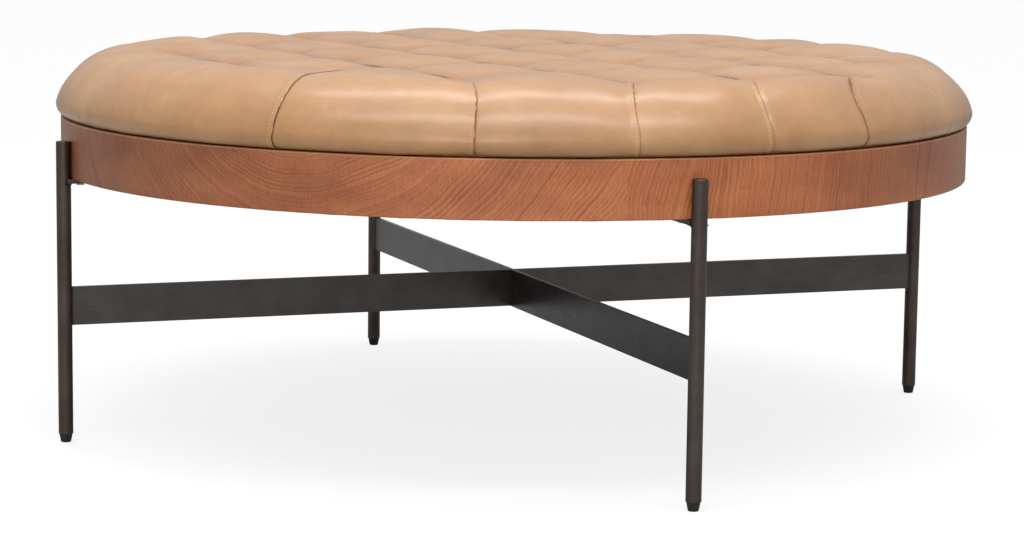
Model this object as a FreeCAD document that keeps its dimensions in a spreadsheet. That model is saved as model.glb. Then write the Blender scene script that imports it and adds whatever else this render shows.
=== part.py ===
import FreeCAD, Part
import math
import os
import Sketcher
from FreeCAD import Placement, Rotation, Vector

# Round tufted leather ottoman on a steel cross base, millimetres, +Z up.
# The origin is on the floor, in the middle of the ring. The four legs stand on the X and Y axes.
# A welded steel base (tubes, cross bars, tabs) carries a wooden ring. The upholstered top is a
# plywood deck with foam, batting and leather, and it is screwed down on to the ring from below.

doc = FreeCAD.newDocument("ottoman")

# ---------------------------------------------------------------- driving sizes

SIZES = [
    ("apron_radius", 606, "outer radius of the wooden ring"),
    ("apron_base", 343.5, "height of the ring's underside above the floor"),
    ("apron_height", 71.5, "height of the ring"),
    ("apron_wall", 25, "thickness of the ring"),
    ("apron_round", 1.5, "round on the ring's outer edges"),
    ("joint_offset", 8, "degrees from a leg to the joint of two ring arcs"),
    ("tongue_thick", 5, "loose tongue in an arc joint, across the ring"),
    ("tongue_length", 40, "loose tongue, along the ring"),
    ("tongue_height", 50, "loose tongue, upright"),
    ("leg_diameter", 19, "leg tube, outside"),
    ("leg_wall", 1.5, "leg tube wall"),
    ("leg_rise", 48, "how far a leg stands up past the ring's underside"),
    ("cap_thick", 3, "disc that closes the top of a leg"),
    ("cap_bevel", 0.8, "bevel round the disc"),
    ("glide_show", 11.5, "part of a foot glide that shows under its tube"),
    ("glide_lip", 1.6, "how much slimmer than the tube a glide starts, on the diameter"),
    ("glide_foot", 13.5, "glide diameter at the floor"),
    ("glide_round", 1.5, "round on the glide's lower edge"),
    ("glide_stem", 18, "length of the glide's stem inside the tube"),
    ("glide_fit", 0.1, "clearance between stem and bore, on the radius"),
    ("bar_base", 153.3, "height of the cross bars' lower edge above the floor"),
    ("bar_depth", 50, "cross bar, upright"),
    ("bar_thick", 6, "cross bar, thickness"),
    ("bar_weld", 4.5, "radius of the weld fillet between a bar and a leg"),
    ("lap_gap", 0.1, "clearance on each side of a half-lap slot"),
    ("tab_width", 22, "tab under the ring, across"),
    ("tab_thick", 6, "tab thickness"),
    ("tab_reach", 50, "how far a tab runs in from the ring's outer face"),
    ("tab_horn", 3, "how far a tab's horns stay back from the middle of its leg"),
    ("tab_weld", 4, "weld fillet under a tab, round its leg"),
    ("tab_outer_screw", 12.5, "outer tab screw, in from the ring's outer face"),
    ("tab_inner_screw", 38, "inner tab screw, in from the ring's outer face"),
    ("screw_shank", 5, "wood screw shank diameter"),
    ("screw_head", 10, "wood screw head diameter"),
    ("screw_head_high", 2.6, "wood screw head height"),
    ("screw_tip", 1, "screw diameter at its tip"),
    ("screw_drive", 3.4, "diameter of the drive recess in a screw head"),
    ("screw_drive_deep", 1.6, "depth of the drive recess"),
    ("screw_bite", 26, "how far a tab screw goes into the wood"),
    ("screw_fit", 0.25, "clearance round a screw, on the radius"),
    ("rail_thick", 22, "cross rail inside the ring, thickness"),
    ("rail_drop", 1.5, "how far rails and cleats stay below the top of the ring"),
    ("rail_trim", 0.01, "sliver that the round cut takes off a rail's straight end"),
    ("rail_gap", 0.4, "gap between a rail's end and the inside of the ring"),
    ("dowel_diameter", 8, "dowel between a rail and the ring"),
    ("dowel_bite", 15, "how far a dowel goes into each piece"),
    ("dowel_low", 34, "lower dowel above the ring's underside"),
    ("dowel_under_top", 14, "upper dowel below the top of a rail"),
    ("dowel_fit", 0.1, "clearance round a dowel, on the radius"),
    ("cleat_depth", 38, "deck cleat, measured in from the ring"),
    ("cleat_width", 120, "deck cleat, along the ring"),
    ("cleat_height", 40, "deck cleat, upright"),
    ("cleat_screw_in", 30, "cleat screw, in from the inside of the ring"),
    ("cleat_screw_side", 35, "cleat screw, to each side of the cleat's middle"),
    ("cleat_screw_bite", 12, "how far a cleat screw goes into the deck"),
    ("deck_setback", 6, "plywood deck, in from the ring's outer face"),
    ("deck_thick", 18, "plywood deck"),
    ("deck_round", 5, "round on the deck's lower edge"),
    ("seat_gap", 0.4, "gap between the ring's top and the leather that rests on it"),
    ("leather_thick", 1.5, "leather"),
    ("deck_gap", 0.1, "gap between the deck and the leather turned under it"),
    ("cover_overhang", 9, "how far the leather stands out past the ring"),
    ("cushion_rise", 92, "height of the cushion above the ring"),
    ("edge_roll", 16.8, "radius of the roll at the cover's lower edge"),
    ("shoulder_roll", 91, "radius of the cover's shoulder"),
    ("tuck_width", 38, "leather turned under the deck, in from the deck's edge"),
    ("layer_gap", 0.3, "gap between leather, batting and foam"),
    ("batting_thick", 6, "batting"),
    ("batting_hem", 7, "height of the batting's lower edge above the deck's underside"),
    ("tuft_pitch", 161, "distance between tufts, both ways of their square grid"),
    ("tuft_turn", 8.6, "degrees from the X axis to the rows of tufts"),
    ("tuft_shift_along", 59, "tuft nearest the middle, from the centre along its row"),
    ("tuft_shift_over", 15, "tuft nearest the middle, from the centre across the rows"),
    ("tuft_margin", 86, "band inside the ring's outer face that has no tufts"),
    ("tuft_depth", 37, "upper end of the tufting twine below the cushion's top"),
    ("twine_diameter", 2, "tufting twine"),
    ("deck_hole", 6, "hole in the deck for the twine"),
    ("foam_hole", 14, "hole in the foam for the twine"),
    ("anchor_diameter", 22, "washer that holds the twine under the deck"),
    ("anchor_thick", 1.5, "washer thickness"),
    ("anchor_fit", 0.2, "clearance of the twine in its washer, on the radius"),
    ("staple_wide", 10, "staple crown, long way"),
    ("staple_wire", 0.9, "staple wire, square"),
    ("staple_leg", 8, "staple leg"),
    ("cover_staple_in", 10, "cover staples, out from the inner edge of the leather"),
    ("dust_setback", 8, "dust cover, in from the ring's outer face"),
    ("dust_thick", 0.6, "dust cover"),
    ("dust_notch_gap", 1.5, "gap between the dust cover and a tab"),
    ("over_cut", 1, "how far a cut starts or ends outside the piece it cuts"),
    ("dust_staple_in", 8, "dust cover staples, in from its edge"),
]

sheet = doc.addObject("Spreadsheet::Sheet", "sizes")
for row, (alias, number, meaning) in enumerate(SIZES, start=1):
    sheet.set(f"A{row}", meaning)
    sheet.set(f"B{row}", str(number))
    sheet.setAlias(f"B{row}", alias)
doc.recompute()

# Heights this close count as the same, in millimetres.
SAME = 0.01
COVER_STAPLES = 96
DUST_STAPLES = 48

# Legs by name, with the angle in degrees at which each stands on the ring.
SIDES = {"right": 0, "back": 90, "left": 180, "front": 270}

# Sizes that follow from the driving ones, as expressions on the sheet.
LEG_RADIUS = "sizes.leg_diameter / 2"
LEG_RING = "(sizes.apron_radius + sizes.leg_diameter / 2)"
BORE_RADIUS = "(sizes.leg_diameter / 2 - sizes.leg_wall)"
RING_INSIDE = "(sizes.apron_radius - sizes.apron_wall)"
RING_TOP = "(sizes.apron_base + sizes.apron_height)"
LEATHER_BASE = f"({RING_TOP} + sizes.seat_gap)"
DECK_BASE = f"({LEATHER_BASE} + sizes.leather_thick + sizes.deck_gap)"
DECK_TOP = f"({DECK_BASE} + sizes.deck_thick)"
RAIL_HEIGHT = "(sizes.apron_height - sizes.rail_drop)"
RAIL_END = f"({RING_INSIDE} - sizes.rail_gap)"
COVER_RADIUS = "(sizes.apron_radius + sizes.cover_overhang)"
COVER_TOP = f"({RING_TOP} + sizes.cushion_rise)"
DECK_RADIUS = "(sizes.apron_radius - sizes.deck_setback)"
TUCK_INNER = f"({DECK_RADIUS} - sizes.tuck_width)"
TUFT_LIMIT = "(sizes.apron_radius - sizes.tuft_margin)"
TUFT_HEIGHT = f"({COVER_TOP} - sizes.tuft_depth)"
DUST_RADIUS = "(sizes.apron_radius - sizes.dust_setback)"
DOWEL_HIGH = f"({RAIL_HEIGHT} - sizes.dowel_under_top)"
CLEAT_TOP = f"({RING_TOP} - sizes.rail_drop)"
SCREW_HOLE = "(sizes.screw_shank / 2 + sizes.screw_fit)"
CLEAT_SCREW_RING = f"({RING_INSIDE} - sizes.cleat_screw_in)"
TAB_OUTER_SCREW_RING = "(sizes.apron_radius - sizes.tab_outer_screw)"
TAB_INNER_SCREW_RING = "(sizes.apron_radius - sizes.tab_inner_screw)"


def size(expression):
    """The number, in millimetres or degrees, that an expression on the sheet comes to."""
    found = sheet.evalExpression(expression.replace("sizes.", ""))
    return float(getattr(found, "Value", found))


# ---------------------------------------------------------------- drawing helpers

def new_body(name, angle=0, height="0"):
    """A body turned about Z by angle and lifted by height, with its label as its node name."""
    body = doc.addObject("PartDesign::Body", name)
    body.Label = name
    body.Placement = Placement(Vector(0, 0, 0), Rotation(Vector(0, 0, 1), angle))
    body.setExpression("Placement.Base.z", height)
    return body


def move_out(body, angle, radius):
    """Moves a body that is modelled on its own axis out to a radius, at angle."""
    body.setExpression("Placement.Base.x", f"{radius} * {round(math.cos(math.radians(angle)), 9)}")
    body.setExpression("Placement.Base.y", f"{radius} * {round(math.sin(math.radians(angle)), 9)}")


def new_sketch(body, name, role, lift="0", turn=None):
    """A sketch on one of the body's origin planes, lifted off it and turned about +Z on request."""
    sketch = body.newObject("Sketcher::SketchObject", name)
    plane = next(item for item in body.Origin.OriginFeatures if item.Role == role)
    sketch.AttachmentSupport = [(plane, "")]
    sketch.MapMode = "FlatFace"
    if turn:
        upright = Vector(0, 0, 1) if role == "XY_Plane" else Vector(0, 1, 0)
        sketch.AttachmentOffset = Placement(Vector(0, 0, 0), Rotation(upright, 1))
        sketch.setExpression("AttachmentOffset.Rotation.Angle", turn)
    sketch.setExpression("AttachmentOffset.Base.z", lift)
    return sketch


def bind(sketch, kind, places, expression):
    """One dimension in a sketch, tied to an expression on the sheet."""
    index = sketch.addConstraint(Sketcher.Constraint(kind, *places, size(expression)))
    sketch.setExpression(f"Constraints[{index}]", expression)


def pin_point(sketch, piece, end, across, up):
    bind(sketch, "DistanceX", (-1, 1, piece, end), across)
    bind(sketch, "DistanceY", (-1, 1, piece, end), up)


def draw_circles(sketch, places, radius):
    """Equal circles of one radius at (across, up) expressions."""
    for number, (across, up) in enumerate(places):
        circle = Part.Circle(Vector(size(across), size(up), 0), Vector(0, 0, 1), size(radius))
        piece = sketch.addGeometry(circle)
        pin_point(sketch, piece, 3, across, up)
        if number == 0:
            bind(sketch, "Radius", (piece,), radius)
        else:
            sketch.addConstraint(Sketcher.Constraint("Equal", 0, piece))


def arc_between(start, end, radius, side):
    """The short arc of a radius from start to end, with its centre on the left (1) or right (-1)."""
    chord = end - start
    middle = (start + end) * 0.5
    reach = math.sqrt(max(radius ** 2 - (chord.Length / 2) ** 2, 0))
    left = Vector(-chord.y, chord.x, 0).normalize()
    centre = middle + left * reach * side
    first, last = (start, end) if side > 0 else (end, start)
    begin = math.atan2(first.y - centre.y, first.x - centre.x)
    finish = math.atan2(last.y - centre.y, last.x - centre.x)
    circle = Part.Circle(centre, Vector(0, 0, 1), radius)
    return Part.ArcOfCircle(circle, begin, finish if finish > begin else finish + 2 * math.pi)


def draw_outline(sketch, corners):
    """A closed outline. Each corner is (across, up), or (across, up, radius, side) when the run
    to the next corner is an arc of that radius with its centre on that side."""
    spots = [Vector(size(corner[0]), size(corner[1]), 0) for corner in corners]
    ends = []
    for number, corner in enumerate(corners):
        start, end = spots[number], spots[(number + 1) % len(spots)]
        if len(corner) == 2:
            piece = sketch.addGeometry(Part.LineSegment(start, end))
            ends.append((piece, 1, 2))
            continue
        piece = sketch.addGeometry(arc_between(start, end, size(corner[2]), corner[3]))
        ends.append((piece, 1, 2) if corner[3] > 0 else (piece, 2, 1))
        bind(sketch, "Radius", (piece,), corner[2])
    for number, corner in enumerate(corners):
        before, here = ends[number - 1], ends[number]
        sketch.addConstraint(Sketcher.Constraint("Coincident", before[0], before[2], here[0], here[1]))
        pin_point(sketch, here[0], here[1], corner[0], corner[1])


def box_corners(low_across, high_across, low_up, high_up):
    return [(low_across, low_up), (high_across, low_up), (high_across, high_up), (low_across, high_up)]


def pad(body, sketch, length, midplane=False, reverse=False):
    feature = body.newObject("PartDesign::Pad", sketch.Name + "_pad")
    feature.Profile = sketch
    feature.Midplane = midplane
    feature.Reversed = reverse
    feature.setExpression("Length", length)
    return feature


def cut(body, sketch, length, midplane=False, reverse=False):
    feature = body.newObject("PartDesign::Pocket", sketch.Name + "_pocket")
    feature.Profile = sketch
    feature.Midplane = midplane
    feature.Reversed = reverse
    feature.setExpression("Length", length)
    return feature


def spin(body, sketch, kind="PartDesign::Revolution", angle=360, midplane=False, axis="V_Axis"):
    feature = body.newObject(kind, sketch.Name + "_turned")
    feature.Profile = sketch
    feature.ReferenceAxis = (sketch, [axis])
    feature.Angle = angle
    feature.Midplane = midplane
    return feature


def edges_where(feature, test):
    """Names of the edges of a feature's shape whose box passes the test."""
    names = []
    for number, edge in enumerate(feature.Shape.Edges, start=1):
        if test(edge.BoundBox):
            names.append(f"Edge{number}")
    return names


def new_group(name, solids):
    """Several separate solids that share one node."""
    group = doc.addObject("Part::Feature", name)
    group.Label = name
    group.Shape = Part.makeCompound(solids)
    group.Placement = Placement()
    return group


def ring_spot(radius, angle, height):
    turn = math.radians(angle)
    return Vector(radius * math.cos(turn), radius * math.sin(turn), height)


# ---------------------------------------------------------------- steel base

def leg_tube(side, angle):
    """Round tube, open below for its glide and closed above by a disc."""
    body = new_body(f"leg_{side}", angle, "sizes.glide_show")
    move_out(body, angle, LEG_RING)
    wall = new_sketch(body, f"leg_{side}_wall", "XY_Plane")
    draw_circles(wall, [("0", "0")], LEG_RADIUS)
    bore = Part.Circle(Vector(0, 0, 0), Vector(0, 0, 1), size(BORE_RADIUS))
    piece = wall.addGeometry(bore)
    pin_point(wall, piece, 3, "0", "0")
    bind(wall, "Radius", (piece,), BORE_RADIUS)
    pad(body, wall, "sizes.apron_base + sizes.leg_rise - sizes.cap_thick - sizes.glide_show")
    return body


def leg_cap(side, angle):
    """Flat disc welded on the top of the tube, with a bevel round its upper edge."""
    body = new_body(f"leg_cap_{side}", angle, "sizes.apron_base + sizes.leg_rise - sizes.cap_thick")
    move_out(body, angle, LEG_RING)
    disc = new_sketch(body, f"leg_cap_{side}_disc", "XY_Plane")
    draw_circles(disc, [("0", "0")], LEG_RADIUS)
    plate = pad(body, disc, "sizes.cap_thick")
    doc.recompute()
    top = size("sizes.cap_thick")
    bevel = body.newObject("PartDesign::Chamfer", f"leg_cap_{side}_bevel")
    bevel.Base = (plate, edges_where(plate, lambda box: box.ZMin > top - SAME))
    bevel.setExpression("Size", "sizes.cap_bevel")
    return body


def foot_glide(side, angle):
    """Push-in plastic glide: a stem in the tube and a tapered foot with a rounded lower edge."""
    body = new_body(f"foot_glide_{side}", angle)
    move_out(body, angle, LEG_RING)
    half = new_sketch(body, f"foot_glide_{side}_half", "XZ_Plane")
    stem = f"({BORE_RADIUS} - sizes.glide_fit)"
    foot = "sizes.glide_foot / 2"
    draw_outline(half, [
        ("0", "0"),
        (f"{foot} - sizes.glide_round", "0", "sizes.glide_round", 1),
        (foot, "sizes.glide_round"),
        ("(sizes.leg_diameter - sizes.glide_lip) / 2", "sizes.glide_show"),
        (stem, "sizes.glide_show"),
        (stem, "sizes.glide_show + sizes.glide_stem"),
        ("0", "sizes.glide_show + sizes.glide_stem"),
    ])
    spin(body, half)
    return body


def cross_bar(name, angle, slot_in_top):
    """Flat bar on edge from leg to leg. Its ends are shaped to the tubes, with the weld fillets on
    them, and a half-lap slot in the middle takes the other bar."""
    body = new_body(name, angle, "sizes.bar_base")
    half = "sizes.bar_thick / 2"
    reach = "(sizes.leg_diameter / 2 + sizes.bar_weld)"
    lift = f"({half} + sizes.bar_weld)"
    run = f"sqrt({reach} * {reach} - {lift} * {lift})"
    fillet_start = f"({LEG_RING} - {run})"
    touch_out = f"({LEG_RING} - {run} * {LEG_RADIUS} / {reach})"
    touch_up = f"({lift} * {LEG_RADIUS} / {reach})"
    plan = new_sketch(body, name + "_plan", "XY_Plane")
    weld = "sizes.bar_weld"
    draw_outline(plan, [
        (f"-{fillet_start}", f"-{half}"),
        (fillet_start, f"-{half}", weld, -1),
        (touch_out, f"-{touch_up}", LEG_RADIUS, -1),
        (touch_out, touch_up, weld, -1),
        (fillet_start, half),
        (f"-{fillet_start}", half, weld, -1),
        (f"-{touch_out}", touch_up, LEG_RADIUS, -1),
        (f"-{touch_out}", f"-{touch_up}", weld, -1),
    ])
    pad(body, plan, "sizes.bar_depth")
    slot = new_sketch(body, name + "_slot", "XZ_Plane")
    side = f"{half} + sizes.lap_gap"
    middle = "sizes.bar_depth / 2"
    low, high = (middle, "sizes.bar_depth + sizes.over_cut") if slot_in_top else ("-sizes.over_cut", middle)
    draw_outline(slot, box_corners(f"-({side})", side, low, high))
    cut(body, slot, "sizes.bar_thick + 2 * sizes.over_cut", midplane=True)
    return body


def mount_tab(side, angle):
    """Plate welded to a leg just under the ring, with two screw holes and a weld fillet below."""
    body = new_body(f"mount_tab_{side}", angle, "sizes.apron_base - sizes.tab_thick")
    plate = new_sketch(body, f"mount_tab_{side}_plate", "XY_Plane")
    inner = "sizes.apron_radius - sizes.tab_reach"
    draw_outline(plate, box_corners(
        inner, f"{LEG_RING} - sizes.tab_horn", "-sizes.tab_width / 2", "sizes.tab_width / 2"))
    pad(body, plate, "sizes.tab_thick")
    cope = new_sketch(body, f"mount_tab_{side}_cope", "XY_Plane")
    draw_circles(cope, [(LEG_RING, "0")], LEG_RADIUS)
    cut(body, cope, "sizes.tab_thick", reverse=True)
    bead = new_sketch(body, f"mount_tab_{side}_bead", "XZ_Plane")
    face = f"({LEG_RING} - {LEG_RADIUS})"
    axis = Part.LineSegment(Vector(size(LEG_RING), 0, 0), Vector(size(LEG_RING), size("sizes.leg_diameter"), 0))
    draw_outline(bead, [
        (f"{face} - sizes.tab_weld", "0", "sizes.tab_weld", -1),
        (face, "-sizes.tab_weld"),
        (face, "0"),
    ])
    line = bead.addGeometry(axis, True)
    pin_point(bead, line, 1, LEG_RING, "0")
    pin_point(bead, line, 2, LEG_RING, "sizes.leg_diameter")
    spin(body, bead, angle=180, midplane=True, axis="Axis0")
    holes = new_sketch(body, f"mount_tab_{side}_holes", "XY_Plane")
    draw_circles(holes, [(TAB_OUTER_SCREW_RING, "0"), (TAB_INNER_SCREW_RING, "0")], SCREW_HOLE)
    cut(body, holes, "sizes.tab_thick", reverse=True)
    return body


def wood_screw(spot, length):
    """Pan head screw that points up, with its head under the given spot and a round drive recess."""
    up = Vector(0, 0, 1)
    high = size("sizes.screw_head_high")
    head = Part.makeCylinder(size("sizes.screw_head / 2"), high, spot - up * high, up)
    shank = Part.makeCylinder(size("sizes.screw_shank / 2"), length - high, spot, up)
    point = Part.makeCone(size("sizes.screw_shank / 2"), size("sizes.screw_tip / 2"), high, spot + up * (length - high), up)
    recess = Part.makeCylinder(
        size("sizes.screw_drive / 2"), size("sizes.screw_drive_deep"), spot - up * high, up)
    return head.fuse([shank, point]).cut(recess).removeSplitter()


def tab_screws():
    """Two wood screws through each tab, up into the ring and into the rail behind it."""
    length = size("sizes.tab_thick + sizes.screw_bite")
    underside = size("sizes.apron_base - sizes.tab_thick")
    screws = []
    for angle in SIDES.values():
        for ring in (TAB_OUTER_SCREW_RING, TAB_INNER_SCREW_RING):
            screws.append(wood_screw(ring_spot(size(ring), angle, underside), length))
    return new_group("tab_screws", screws)


# ---------------------------------------------------------------- wooden frame

def apron_arc(side, angle):
    """A quarter of the ring, sawn from wide board. It starts just before its leg and has slots for
    the loose tongues at both ends, dowel holes behind the leg and a pilot hole for the tab screw."""
    name = f"apron_arc_{side}"
    body = new_body(name, angle, "sizes.apron_base")
    body.setExpression("Placement.Rotation.Angle", f"{angle} deg - sizes.joint_offset * 1 deg")
    rounding, outside = "sizes.apron_round", "sizes.apron_radius"
    section = new_sketch(body, name + "_section", "XZ_Plane")
    draw_outline(section, [
        (RING_INSIDE, "0"),
        (f"{outside} - {rounding}", "0", rounding, 1),
        (outside, rounding),
        (outside, f"sizes.apron_height - {rounding}", rounding, 1),
        (f"{outside} - {rounding}", "sizes.apron_height"),
        (RING_INSIDE, "sizes.apron_height"),
    ])
    spin(body, section, angle=90)
    middle = f"({outside} - sizes.apron_wall / 2)"
    thick = "sizes.tongue_thick / 2 + sizes.dowel_fit"
    low = "(sizes.apron_height - sizes.tongue_height) / 2 - sizes.dowel_fit"
    high = "(sizes.apron_height + sizes.tongue_height) / 2 + sizes.dowel_fit"
    for role, reverse in (("XZ_Plane", False), ("YZ_Plane", True)):
        slot = new_sketch(body, f"{name}_slot_{role[:2]}", role)
        draw_outline(slot, box_corners(f"{middle} - ({thick})", f"{middle} + ({thick})", low, high))
        cut(body, slot, "sizes.tongue_length / 2 + sizes.dowel_fit", reverse=reverse)
    holes = new_sketch(body, name + "_dowel_holes", "YZ_Plane", turn="sizes.joint_offset * 1 deg")
    draw_circles(holes, [("0", "sizes.dowel_low"), ("0", DOWEL_HIGH)],
                 "(sizes.dowel_diameter / 2 + sizes.dowel_fit)")
    cut(body, holes, f"{RING_INSIDE} + sizes.dowel_bite", reverse=True)
    pilot = new_sketch(body, name + "_pilot", "XY_Plane", turn="sizes.joint_offset * 1 deg")
    draw_circles(pilot, [(TAB_OUTER_SCREW_RING, "0")], SCREW_HOLE)
    cut(body, pilot, "sizes.screw_bite + sizes.screw_fit", reverse=True)
    return body


def apron_tongues():
    """A loose tongue in each joint of the ring."""
    thick, length, high = (size(f"sizes.tongue_{word}") for word in ("thick", "length", "height"))
    middle = size("sizes.apron_radius - sizes.apron_wall / 2")
    base = size("sizes.apron_base + (sizes.apron_height - sizes.tongue_height) / 2")
    tongues = []
    for angle in SIDES.values():
        tongue = Part.makeBox(thick, length, high, Vector(middle - thick / 2, -length / 2, base))
        tongue.rotate(Vector(0, 0, 0), Vector(0, 0, 1), angle - size("sizes.joint_offset"))
        tongues.append(tongue)
    return new_group("apron_tongues", tongues)


def cross_rail(name, angle, slot_in_top):
    """Rail on edge inside the ring, half-lapped over the other, with dowel and screw holes."""
    body = new_body(name, angle, "sizes.apron_base")
    middle = f"{RAIL_HEIGHT} / 2"
    side = "(sizes.rail_thick / 2 + sizes.lap_gap)"
    front = new_sketch(body, name + "_front", "XZ_Plane")
    notch = [(side, middle), (f"-{side}", middle)]
    if slot_in_top:
        draw_outline(front, [(f"-{RAIL_END}", "0"), (RAIL_END, "0"), (RAIL_END, RAIL_HEIGHT),
                             (side, RAIL_HEIGHT), *notch, (f"-{side}", RAIL_HEIGHT),
                             (f"-{RAIL_END}", RAIL_HEIGHT)])
    else:
        draw_outline(front, [(f"-{RAIL_END}", "0"), (f"-{side}", "0"), *reversed(notch),
                             (side, "0"), (RAIL_END, "0"), (RAIL_END, RAIL_HEIGHT),
                             (f"-{RAIL_END}", RAIL_HEIGHT)])
    pad(body, front, "sizes.rail_thick", midplane=True)
    # The ends follow the inside of the ring.
    ends = new_sketch(body, name + "_ends", "XY_Plane")
    draw_circles(ends, [("0", "0")], f"({RAIL_END} - sizes.rail_trim)")
    rim = ends.addGeometry(Part.Circle(Vector(0, 0, 0), Vector(0, 0, 1), size(RING_INSIDE)))
    pin_point(ends, rim, 3, "0", "0")
    bind(ends, "Radius", (rim,), RING_INSIDE)
    cut(body, ends, "sizes.apron_height + sizes.over_cut", reverse=True)
    # Dowel holes in one end, mirrored to the other.
    holes = new_sketch(body, name + "_dowel_holes", "YZ_Plane", lift=f"{RAIL_END} + sizes.over_cut")
    draw_circles(holes, [("0", "sizes.dowel_low"), ("0", DOWEL_HIGH)],
                 "(sizes.dowel_diameter / 2 + sizes.dowel_fit)")
    bores = cut(body, holes, "sizes.dowel_bite + sizes.over_cut")
    doc.recompute()
    mirror = body.newObject("PartDesign::Mirrored", name + "_other_end")
    mirror.Originals = [bores]
    upright = next(item for item in body.Origin.OriginFeatures if item.Role == "YZ_Plane")
    mirror.MirrorPlane = (upright, [""])
    body.Tip = mirror
    pilots = new_sketch(body, name + "_pilots", "XY_Plane")
    draw_circles(pilots, [(TAB_INNER_SCREW_RING, "0"), (f"-{TAB_INNER_SCREW_RING}", "0")], SCREW_HOLE)
    cut(body, pilots, "sizes.screw_bite + sizes.screw_fit", reverse=True)
    return body


def rail_dowels():
    """Two dowels between each rail end and the ring."""
    bite = size("sizes.dowel_bite")
    start = size(RAIL_END) - bite
    dowels = []
    for angle in SIDES.values():
        outward = ring_spot(1, angle, 0)
        for height in (size("sizes.dowel_low"), size(DOWEL_HIGH)):
            spot = ring_spot(start, angle, size("sizes.apron_base") + height)
            dowels.append(Part.makeCylinder(size("sizes.dowel_diameter / 2"), 2 * bite, spot, outward))
    return new_group("rail_dowels", dowels)


def deck_cleat(name, angle):
    """Block glued inside the ring, with clearance holes for two screws up into the deck."""
    body = new_body(name, angle, f"{CLEAT_TOP} - sizes.cleat_height")
    plan = new_sketch(body, name + "_plan", "XY_Plane")
    half = "sizes.cleat_width / 2"
    back = f"sqrt({RING_INSIDE} * {RING_INSIDE} - {half} * {half})"
    front = f"{RING_INSIDE} - sizes.cleat_depth"
    draw_outline(plan, [
        (front, f"-{half}"),
        (back, f"-{half}", RING_INSIDE, 1),
        (back, half),
        (front, half),
    ])
    pad(body, plan, "sizes.cleat_height")
    holes = new_sketch(body, name + "_holes", "XY_Plane")
    side = "sizes.cleat_screw_side"
    draw_circles(holes, [(CLEAT_SCREW_RING, f"-{side}"), (CLEAT_SCREW_RING, side)], SCREW_HOLE)
    cut(body, holes, "sizes.cleat_height", reverse=True)
    return body


def cleat_screws():
    """Two long screws through each cleat that pull the deck down on to the ring."""
    underside = size(f"{CLEAT_TOP} - sizes.cleat_height")
    length = size(f"{DECK_BASE} + sizes.cleat_screw_bite") - underside
    screws = []
    for angle in SIDES.values():
        for side in (-1, 1):
            spot = Vector(size(CLEAT_SCREW_RING), side * size("sizes.cleat_screw_side"), underside)
            screw = wood_screw(spot, length)
            screw.rotate(Vector(0, 0, 0), Vector(0, 0, 1), angle + 45)
            screws.append(screw)
    return new_group("cleat_screws", screws)


# ---------------------------------------------------------------- upholstered top

def tuft_cells():
    """Steps (along, over) of the square grid of tufts that fall inside the tufted circle."""
    pitch, limit = size("sizes.tuft_pitch"), size(TUFT_LIMIT)
    shift = Vector(size("sizes.tuft_shift_along"), size("sizes.tuft_shift_over"), 0)
    steps = range(-math.ceil(limit / pitch) - 1, math.ceil(limit / pitch) + 2)
    return [(along, over) for over in steps for along in steps
            if (Vector(along, over, 0) * pitch + shift).Length <= limit]


def tuft_place(along, over):
    """Expressions for where a tuft lies, across and up in plan."""
    run = f"({along} * sizes.tuft_pitch + sizes.tuft_shift_along)"
    rise = f"({over} * sizes.tuft_pitch + sizes.tuft_shift_over)"
    turn = "sizes.tuft_turn * 1 deg"
    return (f"{run} * cos({turn}) - {rise} * sin({turn})", f"{run} * sin({turn}) + {rise} * cos({turn})")


def tuft_spots(height):
    places = [tuft_place(*cell) for cell in tuft_cells()]
    return [Vector(size(across), size(up), height) for across, up in places]


def deck_board():
    """Plywood disc with a rounded lower edge, twine holes and pilot holes for the cleat screws."""
    body = new_body("deck_board", 0, DECK_BASE)
    disc = new_sketch(body, "deck_disc", "XY_Plane")
    draw_circles(disc, [("0", "0")], DECK_RADIUS)
    plate = pad(body, disc, "sizes.deck_thick")
    doc.recompute()
    rounding = body.newObject("PartDesign::Fillet", "deck_edge")
    rounding.Base = (plate, edges_where(plate, lambda box: box.ZMax < SAME))
    rounding.setExpression("Radius", "sizes.deck_round")
    tufts = new_sketch(body, "deck_twine_holes", "XY_Plane")
    draw_circles(tufts, [tuft_place(*cell) for cell in tuft_cells()], "sizes.deck_hole / 2")
    cut(body, tufts, "sizes.deck_thick", reverse=True)
    pilots = new_sketch(body, "deck_pilots", "XY_Plane", turn="45 deg")
    side = "sizes.cleat_screw_side"
    draw_circles(pilots, [(CLEAT_SCREW_RING, f"-{side}"), (CLEAT_SCREW_RING, side)], SCREW_HOLE)
    first = cut(body, pilots, "sizes.cleat_screw_bite + sizes.screw_fit", reverse=True)
    doc.recompute()
    pattern = body.newObject("PartDesign::PolarPattern", "deck_pilot_pattern")
    pattern.Originals = [first]
    axis = next(item for item in body.Origin.OriginFeatures if item.Role == "Z_Axis")
    pattern.Axis = (axis, [""])
    pattern.Angle = 360
    pattern.Occurrences = len(SIDES)
    body.Tip = pattern
    return body


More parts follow.
